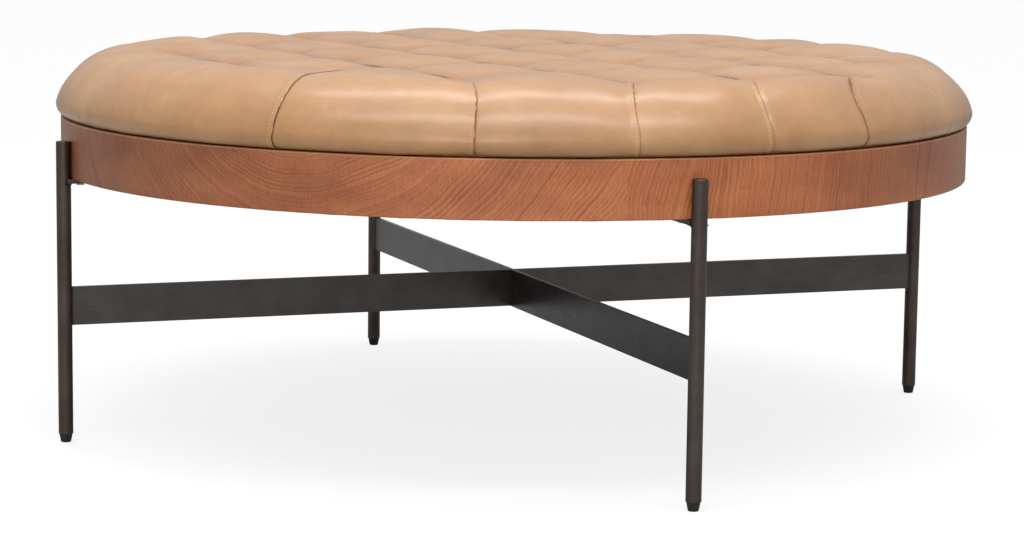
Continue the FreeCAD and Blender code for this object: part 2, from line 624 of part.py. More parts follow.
def cushion_half(sketch, inset, base):
    """Half section of the cushion at an inset from its outer surface, cut off flat at a height.
    The outline is a flat top, a shoulder arc, and where the cut is low enough an edge roll."""
    roll = f"(sizes.edge_roll - {inset})"
    shoulder = f"(sizes.shoulder_roll - {inset})"
    roll_across = f"({COVER_RADIUS} - sizes.edge_roll)"
    roll_up = f"({LEATHER_BASE} + sizes.edge_roll)"
    top = f"({COVER_TOP} - {inset})"
    shoulder_up = f"({COVER_TOP} - sizes.shoulder_roll)"
    gap = "(sizes.shoulder_roll - sizes.edge_roll)"
    drop = f"({roll_up} - {shoulder_up})"
    run = f"sqrt({gap} * {gap} - {drop} * {drop})"
    shoulder_across = f"({roll_across} - {run})"
    meet_across = f"({shoulder_across} + {run} * {shoulder} / {gap})"
    meet_up = f"({shoulder_up} + {drop} * {shoulder} / {gap})"
    low = [("0", base)]
    if size(base) < size(f"{roll_up} - {roll}") + SAME:
        low.append((roll_across, base, roll, 1))
        low.append((meet_across, meet_up, shoulder, 1))
    elif size(base) < size(meet_up) - SAME:
        cut_across = f"({roll_across} + sqrt({roll} * {roll} - ({base} - {roll_up}) * ({base} - {roll_up})))"
        low.append((cut_across, base, roll, 1))
        low.append((meet_across, meet_up, shoulder, 1))
    else:
        reach = f"({base} - {shoulder_up})"
        low.append((f"({shoulder_across} + sqrt({shoulder} * {shoulder} - {reach} * {reach}))",
                    base, shoulder, 1))
    draw_outline(sketch, [*low, (shoulder_across, top), ("0", top)])


def leather_cover():
    """Plain outer shape of the leather: a shell with its lower edge turned under the deck."""
    body = new_body("leather_cover")
    outside = new_sketch(body, "leather_outside", "XZ_Plane")
    cushion_half(outside, "0", LEATHER_BASE)
    spin(body, outside)
    inside = new_sketch(body, "leather_inside", "XZ_Plane")
    cushion_half(inside, "sizes.leather_thick", f"{LEATHER_BASE} + sizes.leather_thick")
    spin(body, inside, "PartDesign::Groove")
    mouth = new_sketch(body, "leather_mouth", "XY_Plane", lift=LEATHER_BASE)
    draw_circles(mouth, [("0", "0")], TUCK_INNER)
    cut(body, mouth, "sizes.leather_thick * 2", reverse=True)
    return body


def batting():
    """Polyester wadding over the foam and down over the edge of the deck."""
    body = new_body("batting")
    hem = f"{DECK_BASE} + sizes.batting_hem"
    outside = new_sketch(body, "batting_outside", "XZ_Plane")
    outer = "(sizes.leather_thick + sizes.layer_gap)"
    cushion_half(outside, outer, hem)
    spin(body, outside)
    inside = new_sketch(body, "batting_inside", "XZ_Plane")
    cushion_half(inside, f"({outer} + sizes.batting_thick)", hem)
    spin(body, inside, "PartDesign::Groove")
    return body


def foam_pad():
    """Foam on the deck, with a hole at every tuft for the twine."""
    body = new_body("foam_pad")
    half = new_sketch(body, "foam_half", "XZ_Plane")
    inset = "(sizes.leather_thick + sizes.batting_thick + 2 * sizes.layer_gap)"
    cushion_half(half, inset, DECK_TOP)
    spin(body, half)
    tufts = new_sketch(body, "foam_holes", "XY_Plane", lift=DECK_TOP)
    draw_circles(tufts, [tuft_place(*cell) for cell in tuft_cells()], "sizes.foam_hole / 2")
    cut(body, tufts, COVER_TOP, reverse=True)
    return body


def tuft_twine():
    """Waxed twine from each tuft down through foam and deck to its washer."""
    base = size(f"{DECK_BASE} - sizes.anchor_thick")
    length = size(TUFT_HEIGHT) - base
    cords = [Part.makeCylinder(size("sizes.twine_diameter / 2"), length, spot) for spot in tuft_spots(base)]
    return new_group("tuft_twine", cords)


def tuft_anchors():
    """Washers under the deck that the twine is tied off against."""
    thick = size("sizes.anchor_thick")
    washers = []
    for spot in tuft_spots(size(DECK_BASE) - thick):
        disc = Part.makeCylinder(size("sizes.anchor_diameter / 2"), thick, spot)
        washers.append(disc.cut(Part.makeCylinder(size("sizes.twine_diameter / 2 + sizes.anchor_fit"), thick, spot)))
    return new_group("tuft_anchors", washers)


def staple():
    """A staple that points up, with its crown's upper face at the origin."""
    wide, wire, leg = (size(f"sizes.staple_{word}") for word in ("wide", "wire", "leg"))
    crown = Part.makeBox(wire, wide, wire, Vector(-wire / 2, -wide / 2, -wire))
    legs = [Part.makeBox(wire, wire, leg + wire, Vector(-wire / 2, side, -wire))
            for side in (-wide / 2, wide / 2 - wire)]
    return crown.fuse(legs).removeSplitter()


def staple_ring(name, count, radius, height, skip):
    """Staples round a circle with their crowns along it, leaving a gap of skip mm at each leg."""
    master = staple()
    staples = []
    for number in range(count):
        angle = 360 * (number + 0.5) / count
        from_leg = abs((angle + 45) % 90 - 45)
        if radius * math.radians(from_leg) < skip:
            continue
        one = master.copy()
        one.translate(Vector(radius, 0, height))
        one.rotate(Vector(0, 0, 0), Vector(0, 0, 1), angle)
        staples.append(one)
    return new_group(name, staples)


def dust_cover():
    """Thin cloth over the underside of the ring, notched round the tabs."""
    body = new_body("dust_cover", 0, "sizes.apron_base - sizes.dust_thick")
    cloth = new_sketch(body, "dust_cloth", "XY_Plane")
    draw_circles(cloth, [("0", "0")], DUST_RADIUS)
    pad(body, cloth, "sizes.dust_thick")
    notch = new_sketch(body, "dust_notch", "XY_Plane")
    side = "(sizes.tab_width / 2 + sizes.dust_notch_gap)"
    inner = "sizes.apron_radius - sizes.tab_reach - sizes.dust_notch_gap"
    draw_outline(notch, box_corners(inner, f"{DUST_RADIUS} + sizes.over_cut", f"-{side}", side))
    first = cut(body, notch, "sizes.dust_thick", reverse=True)
    doc.recompute()
    pattern = body.newObject("PartDesign::PolarPattern", "dust_notches")
    pattern.Originals = [first]
    axis = next(item for item in body.Origin.OriginFeatures if item.Role == "Z_Axis")
    pattern.Axis = (axis, [""])
    pattern.Angle = 360
    pattern.Occurrences = len(SIDES)
    body.Tip = pattern
    return body


# ---------------------------------------------------------------- assembly

parts = []
for side, angle in SIDES.items():
    parts += [leg_tube(side, angle), leg_cap(side, angle), foot_glide(side, angle)]
    parts += [mount_tab(side, angle), apron_arc(side, angle)]
parts += [cross_bar("stretcher_left_right", 0, True), cross_bar("stretcher_front_back", 90, False)]
parts += [cross_rail("rail_left_right", 0, True), cross_rail("rail_front_back", 90, False)]
for number, angle in enumerate(SIDES.values(), start=1):
    parts.append(deck_cleat(f"deck_cleat_{number}", angle + 45))
parts += [tab_screws(), apron_tongues(), rail_dowels(), cleat_screws()]
parts += [deck_board(), foam_pad(), batting(), leather_cover(), tuft_twine(), tuft_anchors()]
parts.append(staple_ring("cover_staples", COVER_STAPLES, size(f"{TUCK_INNER} + sizes.cover_staple_in"),
                         size(LEATHER_BASE), 0))
parts.append(staple_ring("dust_staples", DUST_STAPLES, size(f"{DUST_RADIUS} - sizes.dust_staple_in"),
                         size("sizes.apron_base - sizes.dust_thick"), size("sizes.tab_width")))
parts.append(dust_cover())
doc.recompute()

faults = [f"{item.Label}: {item.State}" for item in doc.Objects
          if "Invalid" in item.State or "Error" in item.State]
faults += [f"{item.Label}: bad shape" for item in parts
           if item.Shape.isNull() or not item.Shape.isValid()]
if faults:
    raise RuntimeError("; ".join(faults))

os.makedirs("parts", exist_ok=True)
for item in parts:
    item.Shape.exportStep(f"parts/{item.Label}.step")
    print(item.Label, len(item.Shape.Solids), round(item.Shape.Volume, 1))
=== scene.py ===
# %% [markdown]
# # A tufted leather ottoman on a steel cross base
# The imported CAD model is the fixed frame: every node of it already stands at its real place, in metres.
# This lesson keeps the steel and wood as they are drawn there and gives them finishes, and it
# makes the upholstery anew, because leather pulled down by tufts can't be drawn as a plain solid.

# %% Load the frame
import math

import bmesh
import bpy
import numpy as np
from mathutils import Euler, Matrix, Vector, geometry, noise
from mathutils.bvhtree import BVHTree


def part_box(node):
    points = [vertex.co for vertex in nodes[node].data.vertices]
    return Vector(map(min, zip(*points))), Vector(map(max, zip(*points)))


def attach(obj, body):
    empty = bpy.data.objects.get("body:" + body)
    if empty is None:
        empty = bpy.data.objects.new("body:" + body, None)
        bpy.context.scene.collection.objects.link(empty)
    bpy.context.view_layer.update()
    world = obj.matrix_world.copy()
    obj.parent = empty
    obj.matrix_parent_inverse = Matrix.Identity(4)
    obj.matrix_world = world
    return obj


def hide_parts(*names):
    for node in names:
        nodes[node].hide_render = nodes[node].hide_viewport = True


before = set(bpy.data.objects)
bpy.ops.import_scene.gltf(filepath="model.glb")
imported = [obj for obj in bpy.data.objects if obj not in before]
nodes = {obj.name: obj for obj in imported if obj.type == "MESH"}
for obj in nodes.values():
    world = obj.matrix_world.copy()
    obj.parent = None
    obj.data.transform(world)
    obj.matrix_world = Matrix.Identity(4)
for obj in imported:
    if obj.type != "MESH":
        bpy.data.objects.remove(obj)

bpy.context.view_layer.update()
MM = 0.001

# %% [markdown]
# ## The camera
# The camera comes first, so that every piece can be judged from where it will be seen. It stands
# low, a little above the seat, and about four metres away. A long lens keeps the ring's ellipse flat.
# A tilt of the camera about its own axis is the last turn that is made. The small function before it
# adds an object to the scene.


# %% Camera
def put(name, data):
    """Adds an object to the scene."""
    thing = bpy.data.objects.new(name, data)
    bpy.context.scene.collection.objects.link(thing)
    return thing


CAMERA_PLACE = Vector((-1.3516, -3.6035, 0.7409))
CAMERA_TURN = math.radians(-20.56)
CAMERA_DIP = math.radians(7.99)
CAMERA_ROLL = math.radians(0.72)
CAMERA_LENS = 100.16

camera_data = bpy.data.cameras.new("camera")
camera_data.lens = CAMERA_LENS
camera_data.sensor_width = 36
camera_data.clip_end = 50
camera = put("camera", camera_data)
aim = Euler((math.pi / 2 - CAMERA_DIP, 0, CAMERA_TURN)).to_matrix()
camera.matrix_world = Matrix.Translation(CAMERA_PLACE) @ (aim @ Matrix.Rotation(CAMERA_ROLL, 3, "Z")).to_4x4()
bpy.context.scene.camera = camera
print("camera stands", round(CAMERA_PLACE.length, 2), "m from the middle of the floor")

# %% [markdown]
# ## Colours and nodes
# Finishes are written as the sRGB hex values that a paint chart shows, and Blender's shaders work
# in linear light, so one function turns one into the other. A second small function adds a shader
# node with its settings and links, which keeps each finish short enough to read at a glance.


# %% Colour and node helpers
def linear(hex_colour, alpha=1.0):
    """An sRGB hex colour as the linear values that shaders take."""
    parts = [int(hex_colour[i:i + 2], 16) / 255 for i in (1, 3, 5)]
    return (*[p / 12.92 if p <= 0.04045 else ((p + 0.055) / 1.055) ** 2.4 for p in parts], alpha)


def add(tree, kind, settings=None, **links):
    """Adds a node. A link is a value for the input of that name, or another node's output."""
    node = tree.nodes.new(kind)
    for key, value in (settings or {}).items():
        setattr(node, key, value)
    for key, value in links.items():
        socket = node.inputs[int(key[1:])] if key[1:].isdigit() else node.inputs[key.replace("_", " ")]
        if isinstance(value, bpy.types.NodeSocket):
            tree.links.new(value, socket)
        else:
            socket.default_value = value
    return node


def new_material(name):
    """A material with an empty tree but for its output, and that tree."""
    material = bpy.data.materials.new(name)
    material.use_nodes = True
    tree = material.node_tree
    tree.nodes.clear()
    return material, tree


def finish_material(tree, shader):
    """Links a shader to the material's output."""
    add(tree, "ShaderNodeOutputMaterial", Surface=shader.outputs[0])


def ramp(tree, factor, stops):
    """A colour ramp from (place, hex colour) stops."""
    node = add(tree, "ShaderNodeValToRGB", Fac=factor)
    line = node.color_ramp
    while len(line.elements) < len(stops):
        line.elements.new(0.5)
    for element, (place, colour) in zip(line.elements, stops):
        element.position = place
        element.color = linear(colour)
    return node.outputs["Color"]


def levels(tree, factor, low, high, out_low, out_high):
    """Stretches a factor from low..high to out_low..out_high."""
    return add(tree, "ShaderNodeMapRange", Value=factor, From_Min=low, From_Max=high,
               To_Min=out_low, To_Max=out_high).outputs[0]


def mix(tree, how, amount, first, second):
    """Mixes two colours, such as MULTIPLY or MIX."""
    node = add(tree, "ShaderNodeMix", {"data_type": "RGBA", "blend_type": how},
               _0=amount, _6=first, _7=second)
    return node.outputs[2]


def maths(tree, how, *values):
    """One step of arithmetic on numbers or outputs."""
    node = add(tree, "ShaderNodeMath", {"operation": how}, **{f"_{i}": v for i, v in enumerate(values)})
    return node.outputs[0]


def grain(tree, place, size_mm, detail=3, rough=0.55, skew=0.0):
    """Noise whose features are about size_mm across, on coordinates in metres."""
    return add(tree, "ShaderNodeTexNoise", Vector=place, Scale=1000 / size_mm, Detail=detail,
               Roughness=rough, Distortion=skew).outputs["Fac"]


def stretched(tree, place, scale, turn=0.0):
    """Object coordinates turned about Z and scaled, so that a pattern runs along one way."""
    return add(tree, "ShaderNodeMapping", {"vector_type": "POINT"}, Vector=place,
               Rotation=(0, 0, turn), Scale=scale).outputs[0]


def bump(tree, height, depth_mm, strength, below=None):
    """A bump that stands depth_mm high, on top of another one if there is one."""
    links = {"Height": height, "Distance": depth_mm * MM, "Strength": strength}
    if below is not None:
        links["Normal"] = below
    return add(tree, "ShaderNodeBump", **links).outputs[0]


print("helpers are ready; mid grey in linear light:", round(linear("#808080")[0], 3))

# %% [markdown]
# ## The upholstery's driving sizes
# The top is a flat stuffed drum. Its edge is a big shoulder that rolls over into a small roll,
# and the leather is turned under the plywood deck there. Holes on a square grid hold the tufting
# twine, which pulls the leather down. The sizes are those of the pieces that hold it: the grid
# is the one on which the deck is drilled.

# %% Sizes of the top
leather_low, leather_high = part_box("leather_cover")
deck_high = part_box("deck_board")[1]
COVER_RADIUS = leather_high.x
COVER_TOP = leather_high.z
COVER_BASE = leather_low.z
SHOULDER = 91 * MM
EDGE_ROLL = 16.8 * MM
TUCK = 36 * MM
TUFT_PITCH = 161 * MM
TUFT_TURN = math.radians(8.6)
TUFT_SHIFT = np.array((59, 15)) * MM
TUFT_LIMIT = 520 * MM

shoulder_from = COVER_TOP - SHOULDER
roll_middle = np.array((COVER_RADIUS - EDGE_ROLL, COVER_BASE + EDGE_ROLL))
reach = math.sqrt((SHOULDER - EDGE_ROLL) ** 2 - (roll_middle[1] - shoulder_from) ** 2)
FLAT_RADIUS = roll_middle[0] - reach
SWEEP = math.atan2(reach, roll_middle[1] - shoulder_from)
SHOULDER_LENGTH = SHOULDER * SWEEP
ROLL_LENGTH = EDGE_ROLL * (math.pi - SWEEP)
RIM_REACH = FLAT_RADIUS + SHOULDER_LENGTH
EDGE_REACH = RIM_REACH + ROLL_LENGTH
PATTERN_RADIUS = EDGE_REACH + TUCK
print("the leather is cut as a disc of radius", round(PATTERN_RADIUS, 3), "m")

# %% [markdown]
# ## From the flat cut to the stuffed shape
# A tufted top starts as a flat disc of leather, and the maker marks the tufts on its back. Working in
# that flat disc makes folds easy to draw, since they are plain lines there. One function then lays
# any point of the disc on the stuffed shape and says which way is outwards.


# %% Laying the leather over the stuffing
def lay_over(flat):
    """Points of the flat disc, as places on the stuffed shape and their outward directions."""
    reach_out = np.hypot(flat[:, 0], flat[:, 1])
    safe = np.maximum(reach_out, 1e-9)
    round_way = flat / safe[:, None]
    on_shoulder = np.clip((reach_out - FLAT_RADIUS) / SHOULDER, 0, SWEEP)
    on_roll = np.clip((reach_out - RIM_REACH) / EDGE_ROLL, 0, math.pi - SWEEP)
    under = np.clip(reach_out - EDGE_REACH, 0, None)
    lean = on_shoulder + on_roll
    out = np.minimum(reach_out, FLAT_RADIUS) + SHOULDER * np.sin(on_shoulder)
    out += EDGE_ROLL * (np.sin(lean) - np.sin(on_shoulder)) - under
    up = COVER_TOP - SHOULDER * (1 - np.cos(on_shoulder))
    up -= EDGE_ROLL * (np.cos(on_shoulder) - np.cos(lean))
    place = np.column_stack((round_way * out[:, None], up))
    outward = np.column_stack((round_way * np.sin(lean)[:, None], np.cos(lean)))
    return place, outward


def polar(distance, degrees):
    """A point of the flat disc from its distance and direction."""
    angle = math.radians(degrees)
    return np.array((distance * math.cos(angle), distance * math.sin(angle)))


edge_place = lay_over(np.array([[EDGE_REACH, 0.0]]))[0][0]
print("the leather turns under at", np.round(edge_place, 4))

# %% [markdown]
# ## Tufts, valleys and pleats
# Between neighbouring tufts the slack leather is folded into a valley. From the outer tufts the
# slack has nowhere to go but over the edge, so pleats run from them down the side. The upholsterer
# lays those by hand, so their spacing is uneven. The list gives each one's tuft, the direction in
# which it reaches the edge, how deep its valley and its crease are, how far its one side laps over
# the other, and how strongly the leather wrinkles beside it.

# %% Tufts and folds
ALONG = np.array((math.cos(TUFT_TURN), math.sin(TUFT_TURN)))
OVER = np.array((-math.sin(TUFT_TURN), math.cos(TUFT_TURN)))
PLEATS = [
    ((-3, 1), 166, 0.8, 0.7, 1.0, 1), ((-3, 0), -174, 0.5, 0.6, 0.8, 1),
    ((-3, -1), -155, 0.3, 0.2, 0.2, 1), ((-2, -1), -138.2, 0.4, 1.6, -1.7, 1),
    ((-2, -2), -115, 1.0, 1.3, -1.5, 1), ((-1, -3), -97, 1.0, 1.3, -1.5, 2),
    ((0, -3), -81, 0.9, 1.2, -1.5, 2), ((1, -3), -66, 0.7, 0.9, 1.3, 4),
    ((2, -2), -46, 0.4, 0.3, 0.3, 3), ((2, -2), -24, 0.8, 0.8, 1.0, 1),
    ((2, -1), -7, 0.8, 0.8, 1.0, 1), ((2, 0), 12, 1.0, 1.0, -1.0, 1),
    ((2, 1), 24, 1.2, 1.0, 1.0, 1), ((2, 2), 41, 0.7, 0.7, 0.8, 1),
    ((2, 2), 61, 0.9, 0.9, -1.0, 1), ((1, 2), 78, 0.9, 0.9, 1.2, 1),
    ((0, 3), 93, 0.9, 0.9, 1.0, 1), ((-1, 3), 108, 0.9, 0.9, -1.0, 1),
    ((-2, 2), 125, 0.9, 0.9, 1.2, 1), ((-2, 2), 154, 0.8, 0.8, 1.0, 1),
]
PLEAT_STRAIGHT = FLAT_RADIUS + 95 * MM
FOLD_STEP = 6 * MM
VALLEY_DEPTH = 13.5 * MM
TUFT_EXTRA = 1.5 * MM
VALLEY_BOW = 0.02
COLUMN_LAP = 1.5
ROW_LAP = 0.4
TUCK_USUAL = 0.95
TUCK_SPREAD = 0.9


def tuft_spots():
    """Every tuft inside the limit, as {(along, over): place in the flat disc}."""
    count = int(TUFT_LIMIT / TUFT_PITCH) + 1
    spots = {}
    for i in range(-count, count + 1):
        for j in range(-count, count + 1):
            step = np.array((i, j)) * TUFT_PITCH + TUFT_SHIFT
            spot = ALONG * step[0] + OVER * step[1]
            if np.hypot(*spot) <= TUFT_LIMIT:
                spots[i, j] = spot
    return spots


def valley_line(start, end, bow):
    """A valley between two tufts, bowed a little to one side as hand-laid leather is."""
    share = np.linspace(0, 1, int(np.hypot(*(end - start)) / FOLD_STEP) + 1)[:, None]
    side = np.array((start[1] - end[1], end[0] - start[0]))
    return start + (end - start) * share + side * bow * np.sin(math.pi * share)


def pleat_line(start, degrees):
    """A pleat from a tuft over the edge. It turns towards its own direction, then runs straight down."""
    out_first, turn_first = np.hypot(*start), math.atan2(start[1], start[0])
    turn_left = (math.radians(degrees) - turn_first + math.pi) % (2 * math.pi) - math.pi
    out = np.arange(out_first, PATTERN_RADIUS, FOLD_STEP)
    share = np.clip((out - out_first) / (PLEAT_STRAIGHT - out_first), 0, 1)
    turn = turn_first + turn_left * (share * (2 - share))
    return np.column_stack((out * np.cos(turn), out * np.sin(turn)))


TUFTS = tuft_spots()
folds = []
for (i, j), spot in TUFTS.items():
    for kind, neighbour in (("row", (i + 1, j)), ("column", (i, j + 1))):
        if neighbour in TUFTS:
            chance = noise.noise(Vector((i * 1.7, j * 2.3, len(kind))))
            folds.append({"kind": kind, "line": valley_line(spot, TUFTS[neighbour], VALLEY_BOW * chance),
                          "lap": COLUMN_LAP if kind == "column" else ROW_LAP,
                          "tuck": TUCK_USUAL + TUCK_SPREAD * chance})
for tuft, degrees, valley, sharp, lap, wrinkle in PLEATS:
    folds.append({"kind": "pleat", "line": pleat_line(TUFTS[tuft], degrees), "lap": lap,
                  "valley": valley, "sharp": sharp, "wrinkle": wrinkle})
print(len(TUFTS), "tufts and", len(folds), "folds,",
      round(sum(np.hypot(*np.diff(f["line"], axis=0).T).sum() for f in folds), 1), "m of them")

# %% [markdown]
# ## A mesh that is fine only where the leather folds
# A fold needs points a millimetre apart and a smooth lobe needs them eight apart. So strips of points
# are laid along every fold, rings round every tuft and a plain grid over the rest, and a Delaunay
# triangulation joins them all. Every point is in the flat disc, so this is a matter of plane geometry.

# %% Points of the flat disc
STRIP_OFFSETS = np.array((0, 1.0, 2.2, 3.8, 6, 9, 13)) * MM
TUFT_RINGS = np.array((0, 1.6, 3.4, 5.6, 8)) * MM
GRID_STEP = 8 * MM
FOLD_CLEAR = 30 * MM
RIM_CLEAR = 3 * MM
SAME_POINT = 0.8 * MM
FAR = 9.0


def within(points, line, margin):
    """Which points lie in a fold's box, grown by the margin."""
    return np.all((points > line.min(0) - margin) & (points < line.max(0) + margin), axis=1)


def square_grid(half, step):
    """A square grid of points about the middle, row by row."""
    span = np.arange(-half, half + 1) * step
    return np.array(np.meshgrid(span, span)).reshape(2, -1).T


def along_fold(points, line):
    """For each point: its distance from a fold, the side it lies on, and its share of the way along."""
    first, step = line[:-1], np.diff(line, axis=0)
    best = np.full(len(points), FAR)
    side = np.zeros(len(points))
    share = np.zeros(len(points))
    for k, (a, d) in enumerate(zip(first, step)):
        local = points - a
        t = np.clip(local @ d / (d @ d), 0, 1)
        gap = local - t[:, None] * d
        distance = np.hypot(gap[:, 0], gap[:, 1])
        nearer = distance < best
        best[nearer] = distance[nearer]
        side[nearer] = np.sign(d[0] * local[nearer, 1] - d[1] * local[nearer, 0])
        share[nearer] = (k + t[nearer]) / len(step)
    return best, side, share


def strip_points(line):
    """Points on both sides of a fold, in rows that follow it."""
    ahead = np.gradient(line, axis=0)
    ahead /= np.hypot(ahead[:, 0], ahead[:, 1])[:, None]
    left = np.column_stack((-ahead[:, 1], ahead[:, 0]))
    offsets = np.concatenate((-STRIP_OFFSETS[:0:-1], STRIP_OFFSETS))
    return (line[:, None] + left[:, None] * offsets[None, :, None]).reshape(-1, 2)


def disc_points():
    """All points of the flat disc, the tighter ones first."""
    rings = [spot + np.array((math.cos(a), math.sin(a))) * r for spot in TUFTS.values() for r in TUFT_RINGS
             for a in np.linspace(0, 2 * math.pi, 14 if r else 1, endpoint=False)]
    spots = np.array(list(TUFTS.values()))
    strips = np.vstack([strip_points(f["line"]) for f in folds])
    tuft_gaps = np.hypot(*(strips[:, None] - spots[None]).transpose(2, 0, 1))
    clear = np.min(tuft_gaps, axis=1) > TUFT_RINGS[-1] + MM
    grid = square_grid(int(PATTERN_RADIUS / GRID_STEP) + 1, GRID_STEP)
    grid = grid[np.hypot(*grid.T) < PATTERN_RADIUS - GRID_STEP]
    near = np.full(len(grid), FAR)
    for f in folds:
        inside = within(grid, f["line"], FOLD_CLEAR)
        near[inside] = np.minimum(near[inside], along_fold(grid[inside], f["line"])[0])
    grid = grid[near > STRIP_OFFSETS[-1] + 0.5 * GRID_STEP]
    count = int(2 * math.pi * PATTERN_RADIUS / GRID_STEP)
    rim = np.array([polar(PATTERN_RADIUS, 360 * k / count) for k in range(count)])
    strips = strips[clear]
    strips = strips[np.hypot(*strips.T) < PATTERN_RADIUS - RIM_CLEAR]
    points = np.vstack((rings, strips, grid, rim))
    cells = np.round(points / SAME_POINT).astype(int)
    _, keep = np.unique(cells, axis=0, return_index=True)
    return points[np.sort(keep)]


flat = disc_points()
made = geometry.delaunay_2d_cdt([Vector(p) for p in flat], [], [], 0, 1e-7)
flat = np.array([tuple(v) for v in made[0]])
triangles = np.array(made[2])
print("flat disc:", len(flat), "points,", len(triangles), "triangles")

# %% [markdown]
# ## How deep the leather is pulled
# Each fold pulls down a wide band on both sides of it, which leaves the lobes puffed up between, and
# makes a narrow crease in the middle. Where one side laps over the other, its lip stands up and is
# pushed across the crease. Deep folds win over shallow ones, so the bands are added as powers.
# A pleat is at its full depth as far out as PLEAT_FULL, and has faded almost to VALLEY_LEFT of it at
# the hem.

# %% Depths, creases and laps
LOBE_HALF = TUFT_PITCH / 2
CREASE_DEPTH = 3.2 * MM
CREASE_WIDTH = 2.6 * MM
LIP_HEIGHT = 1.6 * MM
LIP_WIDTH = 6 * MM
LAP_REACH = 3.2 * MM
PIT_DEPTH = 3 * MM
PIT_WIDTH = 13 * MM
RIPPLE = 0.35 * MM
RIPPLE_STEP = 8.5 * MM
BLEND_POWER = 3.2
LOBE_ROUND = 2.3
TUCK_SHARE = 0.8
DEEP_TUCK = 3.6
TUCK_WIDTH = 2.2
TUCK_SHADE = 10 * MM
PLEAT_FULL = 0.38
PLEAT_PAST = 10 * MM
PLEAT_WIDTH = 0.9
VALLEY_LEFT = 0.16
SHARP_LEFT = 0.5
LAP_LEFT = 0.6
CREASE_MIDDLE = 0.2
CREASE_ENDS = 0.6
TUCK_RISE = 1.6
LAP_START = 1.1
LAP_FALL = 1.7
RIPPLE_REACH = 14 * MM
HEM_PAST = 2 * MM
HEM_FADE = 8 * MM


def fold_profile(fold, share, out):
    """A fold's valley depth, crease share, lap share and deep tuck share along its length."""
    smooth = np.zeros(len(share))
    if fold["kind"] == "pleat":
        fade = np.clip((EDGE_REACH + PLEAT_PAST - out) / (EDGE_REACH - PLEAT_FULL), 0, 1)
        valley = VALLEY_LEFT + (1 - VALLEY_LEFT) * fade ** 1.4
        valley = (VALLEY_DEPTH + TUFT_EXTRA) * valley * fold["valley"]
        crease = fold["sharp"] * (SHARP_LEFT + (1 - SHARP_LEFT) * fade)
        return valley, crease, fold["lap"] * (LAP_LEFT + (1 - LAP_LEFT) * fade), smooth
    ends = np.abs(2 * share - 1)
    valley = VALLEY_DEPTH + TUFT_EXTRA * ends ** 2
    crease = CREASE_MIDDLE + CREASE_ENDS * ends ** 1.5
    if fold["kind"] == "row":
        return valley, crease, fold["lap"] * ends, smooth
    tucked = np.clip(1 - share / TUCK_SHARE, 0, 1)
    valley -= TUFT_EXTRA * TUCK_RISE * tucked ** 0.5
    crease += DEEP_TUCK * tucked ** 0.6 * fold["tuck"]
    lap = fold["lap"] * np.clip(LAP_START - LAP_FALL * share, 0, 1)
    return valley, crease, lap, np.clip(tucked ** 0.6 * fold["tuck"], 0, 1)


def above_hem(out):
    """1 where the leather is free to move, falling to 0 where it is turned under the edge."""
    return np.clip((EDGE_REACH + HEM_PAST - out) / HEM_FADE, 0, 1)


def pull_down(points):
    """How far each point is pulled in, its crease and tuck shares, and how far its lip is pushed across."""
    out = np.hypot(points[:, 0], points[:, 1])
    deep, crease, tuck, lip = (np.zeros(len(points)) for _ in range(4))
    push = np.zeros((len(points), 2))
    for number, fold in enumerate(folds):
        line = fold["line"]
        near = within(points, line, LOBE_HALF)
        gap, side, share = along_fold(points[near], line)
        valley, sharp, lap, tucked = fold_profile(fold, share, out[near])
        width = LOBE_HALF * (PLEAT_WIDTH if fold["kind"] == "pleat" else 1.0)
        band = np.clip(1 - gap / width, 0, 1)
        deep[near] += (valley * band ** LOBE_ROUND) ** BLEND_POWER
        way = 1 if fold["lap"] >= 0 else -1
        side = side * way
        lap = np.abs(lap)
        under = np.where(side < 0, 1.0, np.clip(1 - lap, 0, 1))
        reach_down = CREASE_WIDTH * (1 + (TUCK_WIDTH - 1) * tucked)
        crease[near] = np.maximum(crease[near], sharp * under * np.exp(-(gap / reach_down) ** 1.3))
        # The tuck share marks a painted shadow on the under side of each deep tuck.
        tuck[near] = np.maximum(tuck[near], tucked * (side <= 0) * np.exp(-(gap / TUCK_SHADE) ** 2))
        over = (side >= 0) * lap * np.exp(-(gap / LIP_WIDTH) ** 1.5)
        lip[near] = np.maximum(lip[near], over)
        cell = np.clip((share * (len(line) - 1)).astype(int), 0, len(line) - 2)
        ahead = line[cell + 1] - line[cell]
        across = np.column_stack((ahead[:, 1], -ahead[:, 0])) / np.hypot(*ahead.T)[:, None]
        push[near] += across * (over * LAP_REACH * way)[:, None]
        if fold["kind"] == "pleat":
            wave = np.cos(2 * math.pi * gap / RIPPLE_STEP + number) * np.exp(-gap / RIPPLE_REACH)
            crease[near] += wave * np.minimum(sharp, 1) * fold["wrinkle"] * RIPPLE / CREASE_DEPTH
    deep = deep ** (1 / BLEND_POWER)
    for spot in TUFTS.values():
        gap = np.hypot(*(points - spot).T)
        deep += PIT_DEPTH * np.exp(-(gap / PIT_WIDTH) ** 1.4)
    return deep, crease, tuck, lip, push


deep, crease, tuck, lip, push = pull_down(flat)
print("deepest pull", round(deep.max() / MM, 1), "mm; middle of the lobes",
      round(np.percentile(deep, 3) / MM, 1), "mm")

# %% [markdown]
# ## Let the stuffing push
# Foam and batting press the leather out wherever nothing holds it. A cloth simulation finds that
# shape: a plain grid of the flat disc is laid on a slightly smaller form, held at the tufts and the edge
# and more loosely along the folds, and blown up by pressure with no gravity. How far each point
# moved is kept and capped, and is later added under the creases, which the grid is too coarse for.

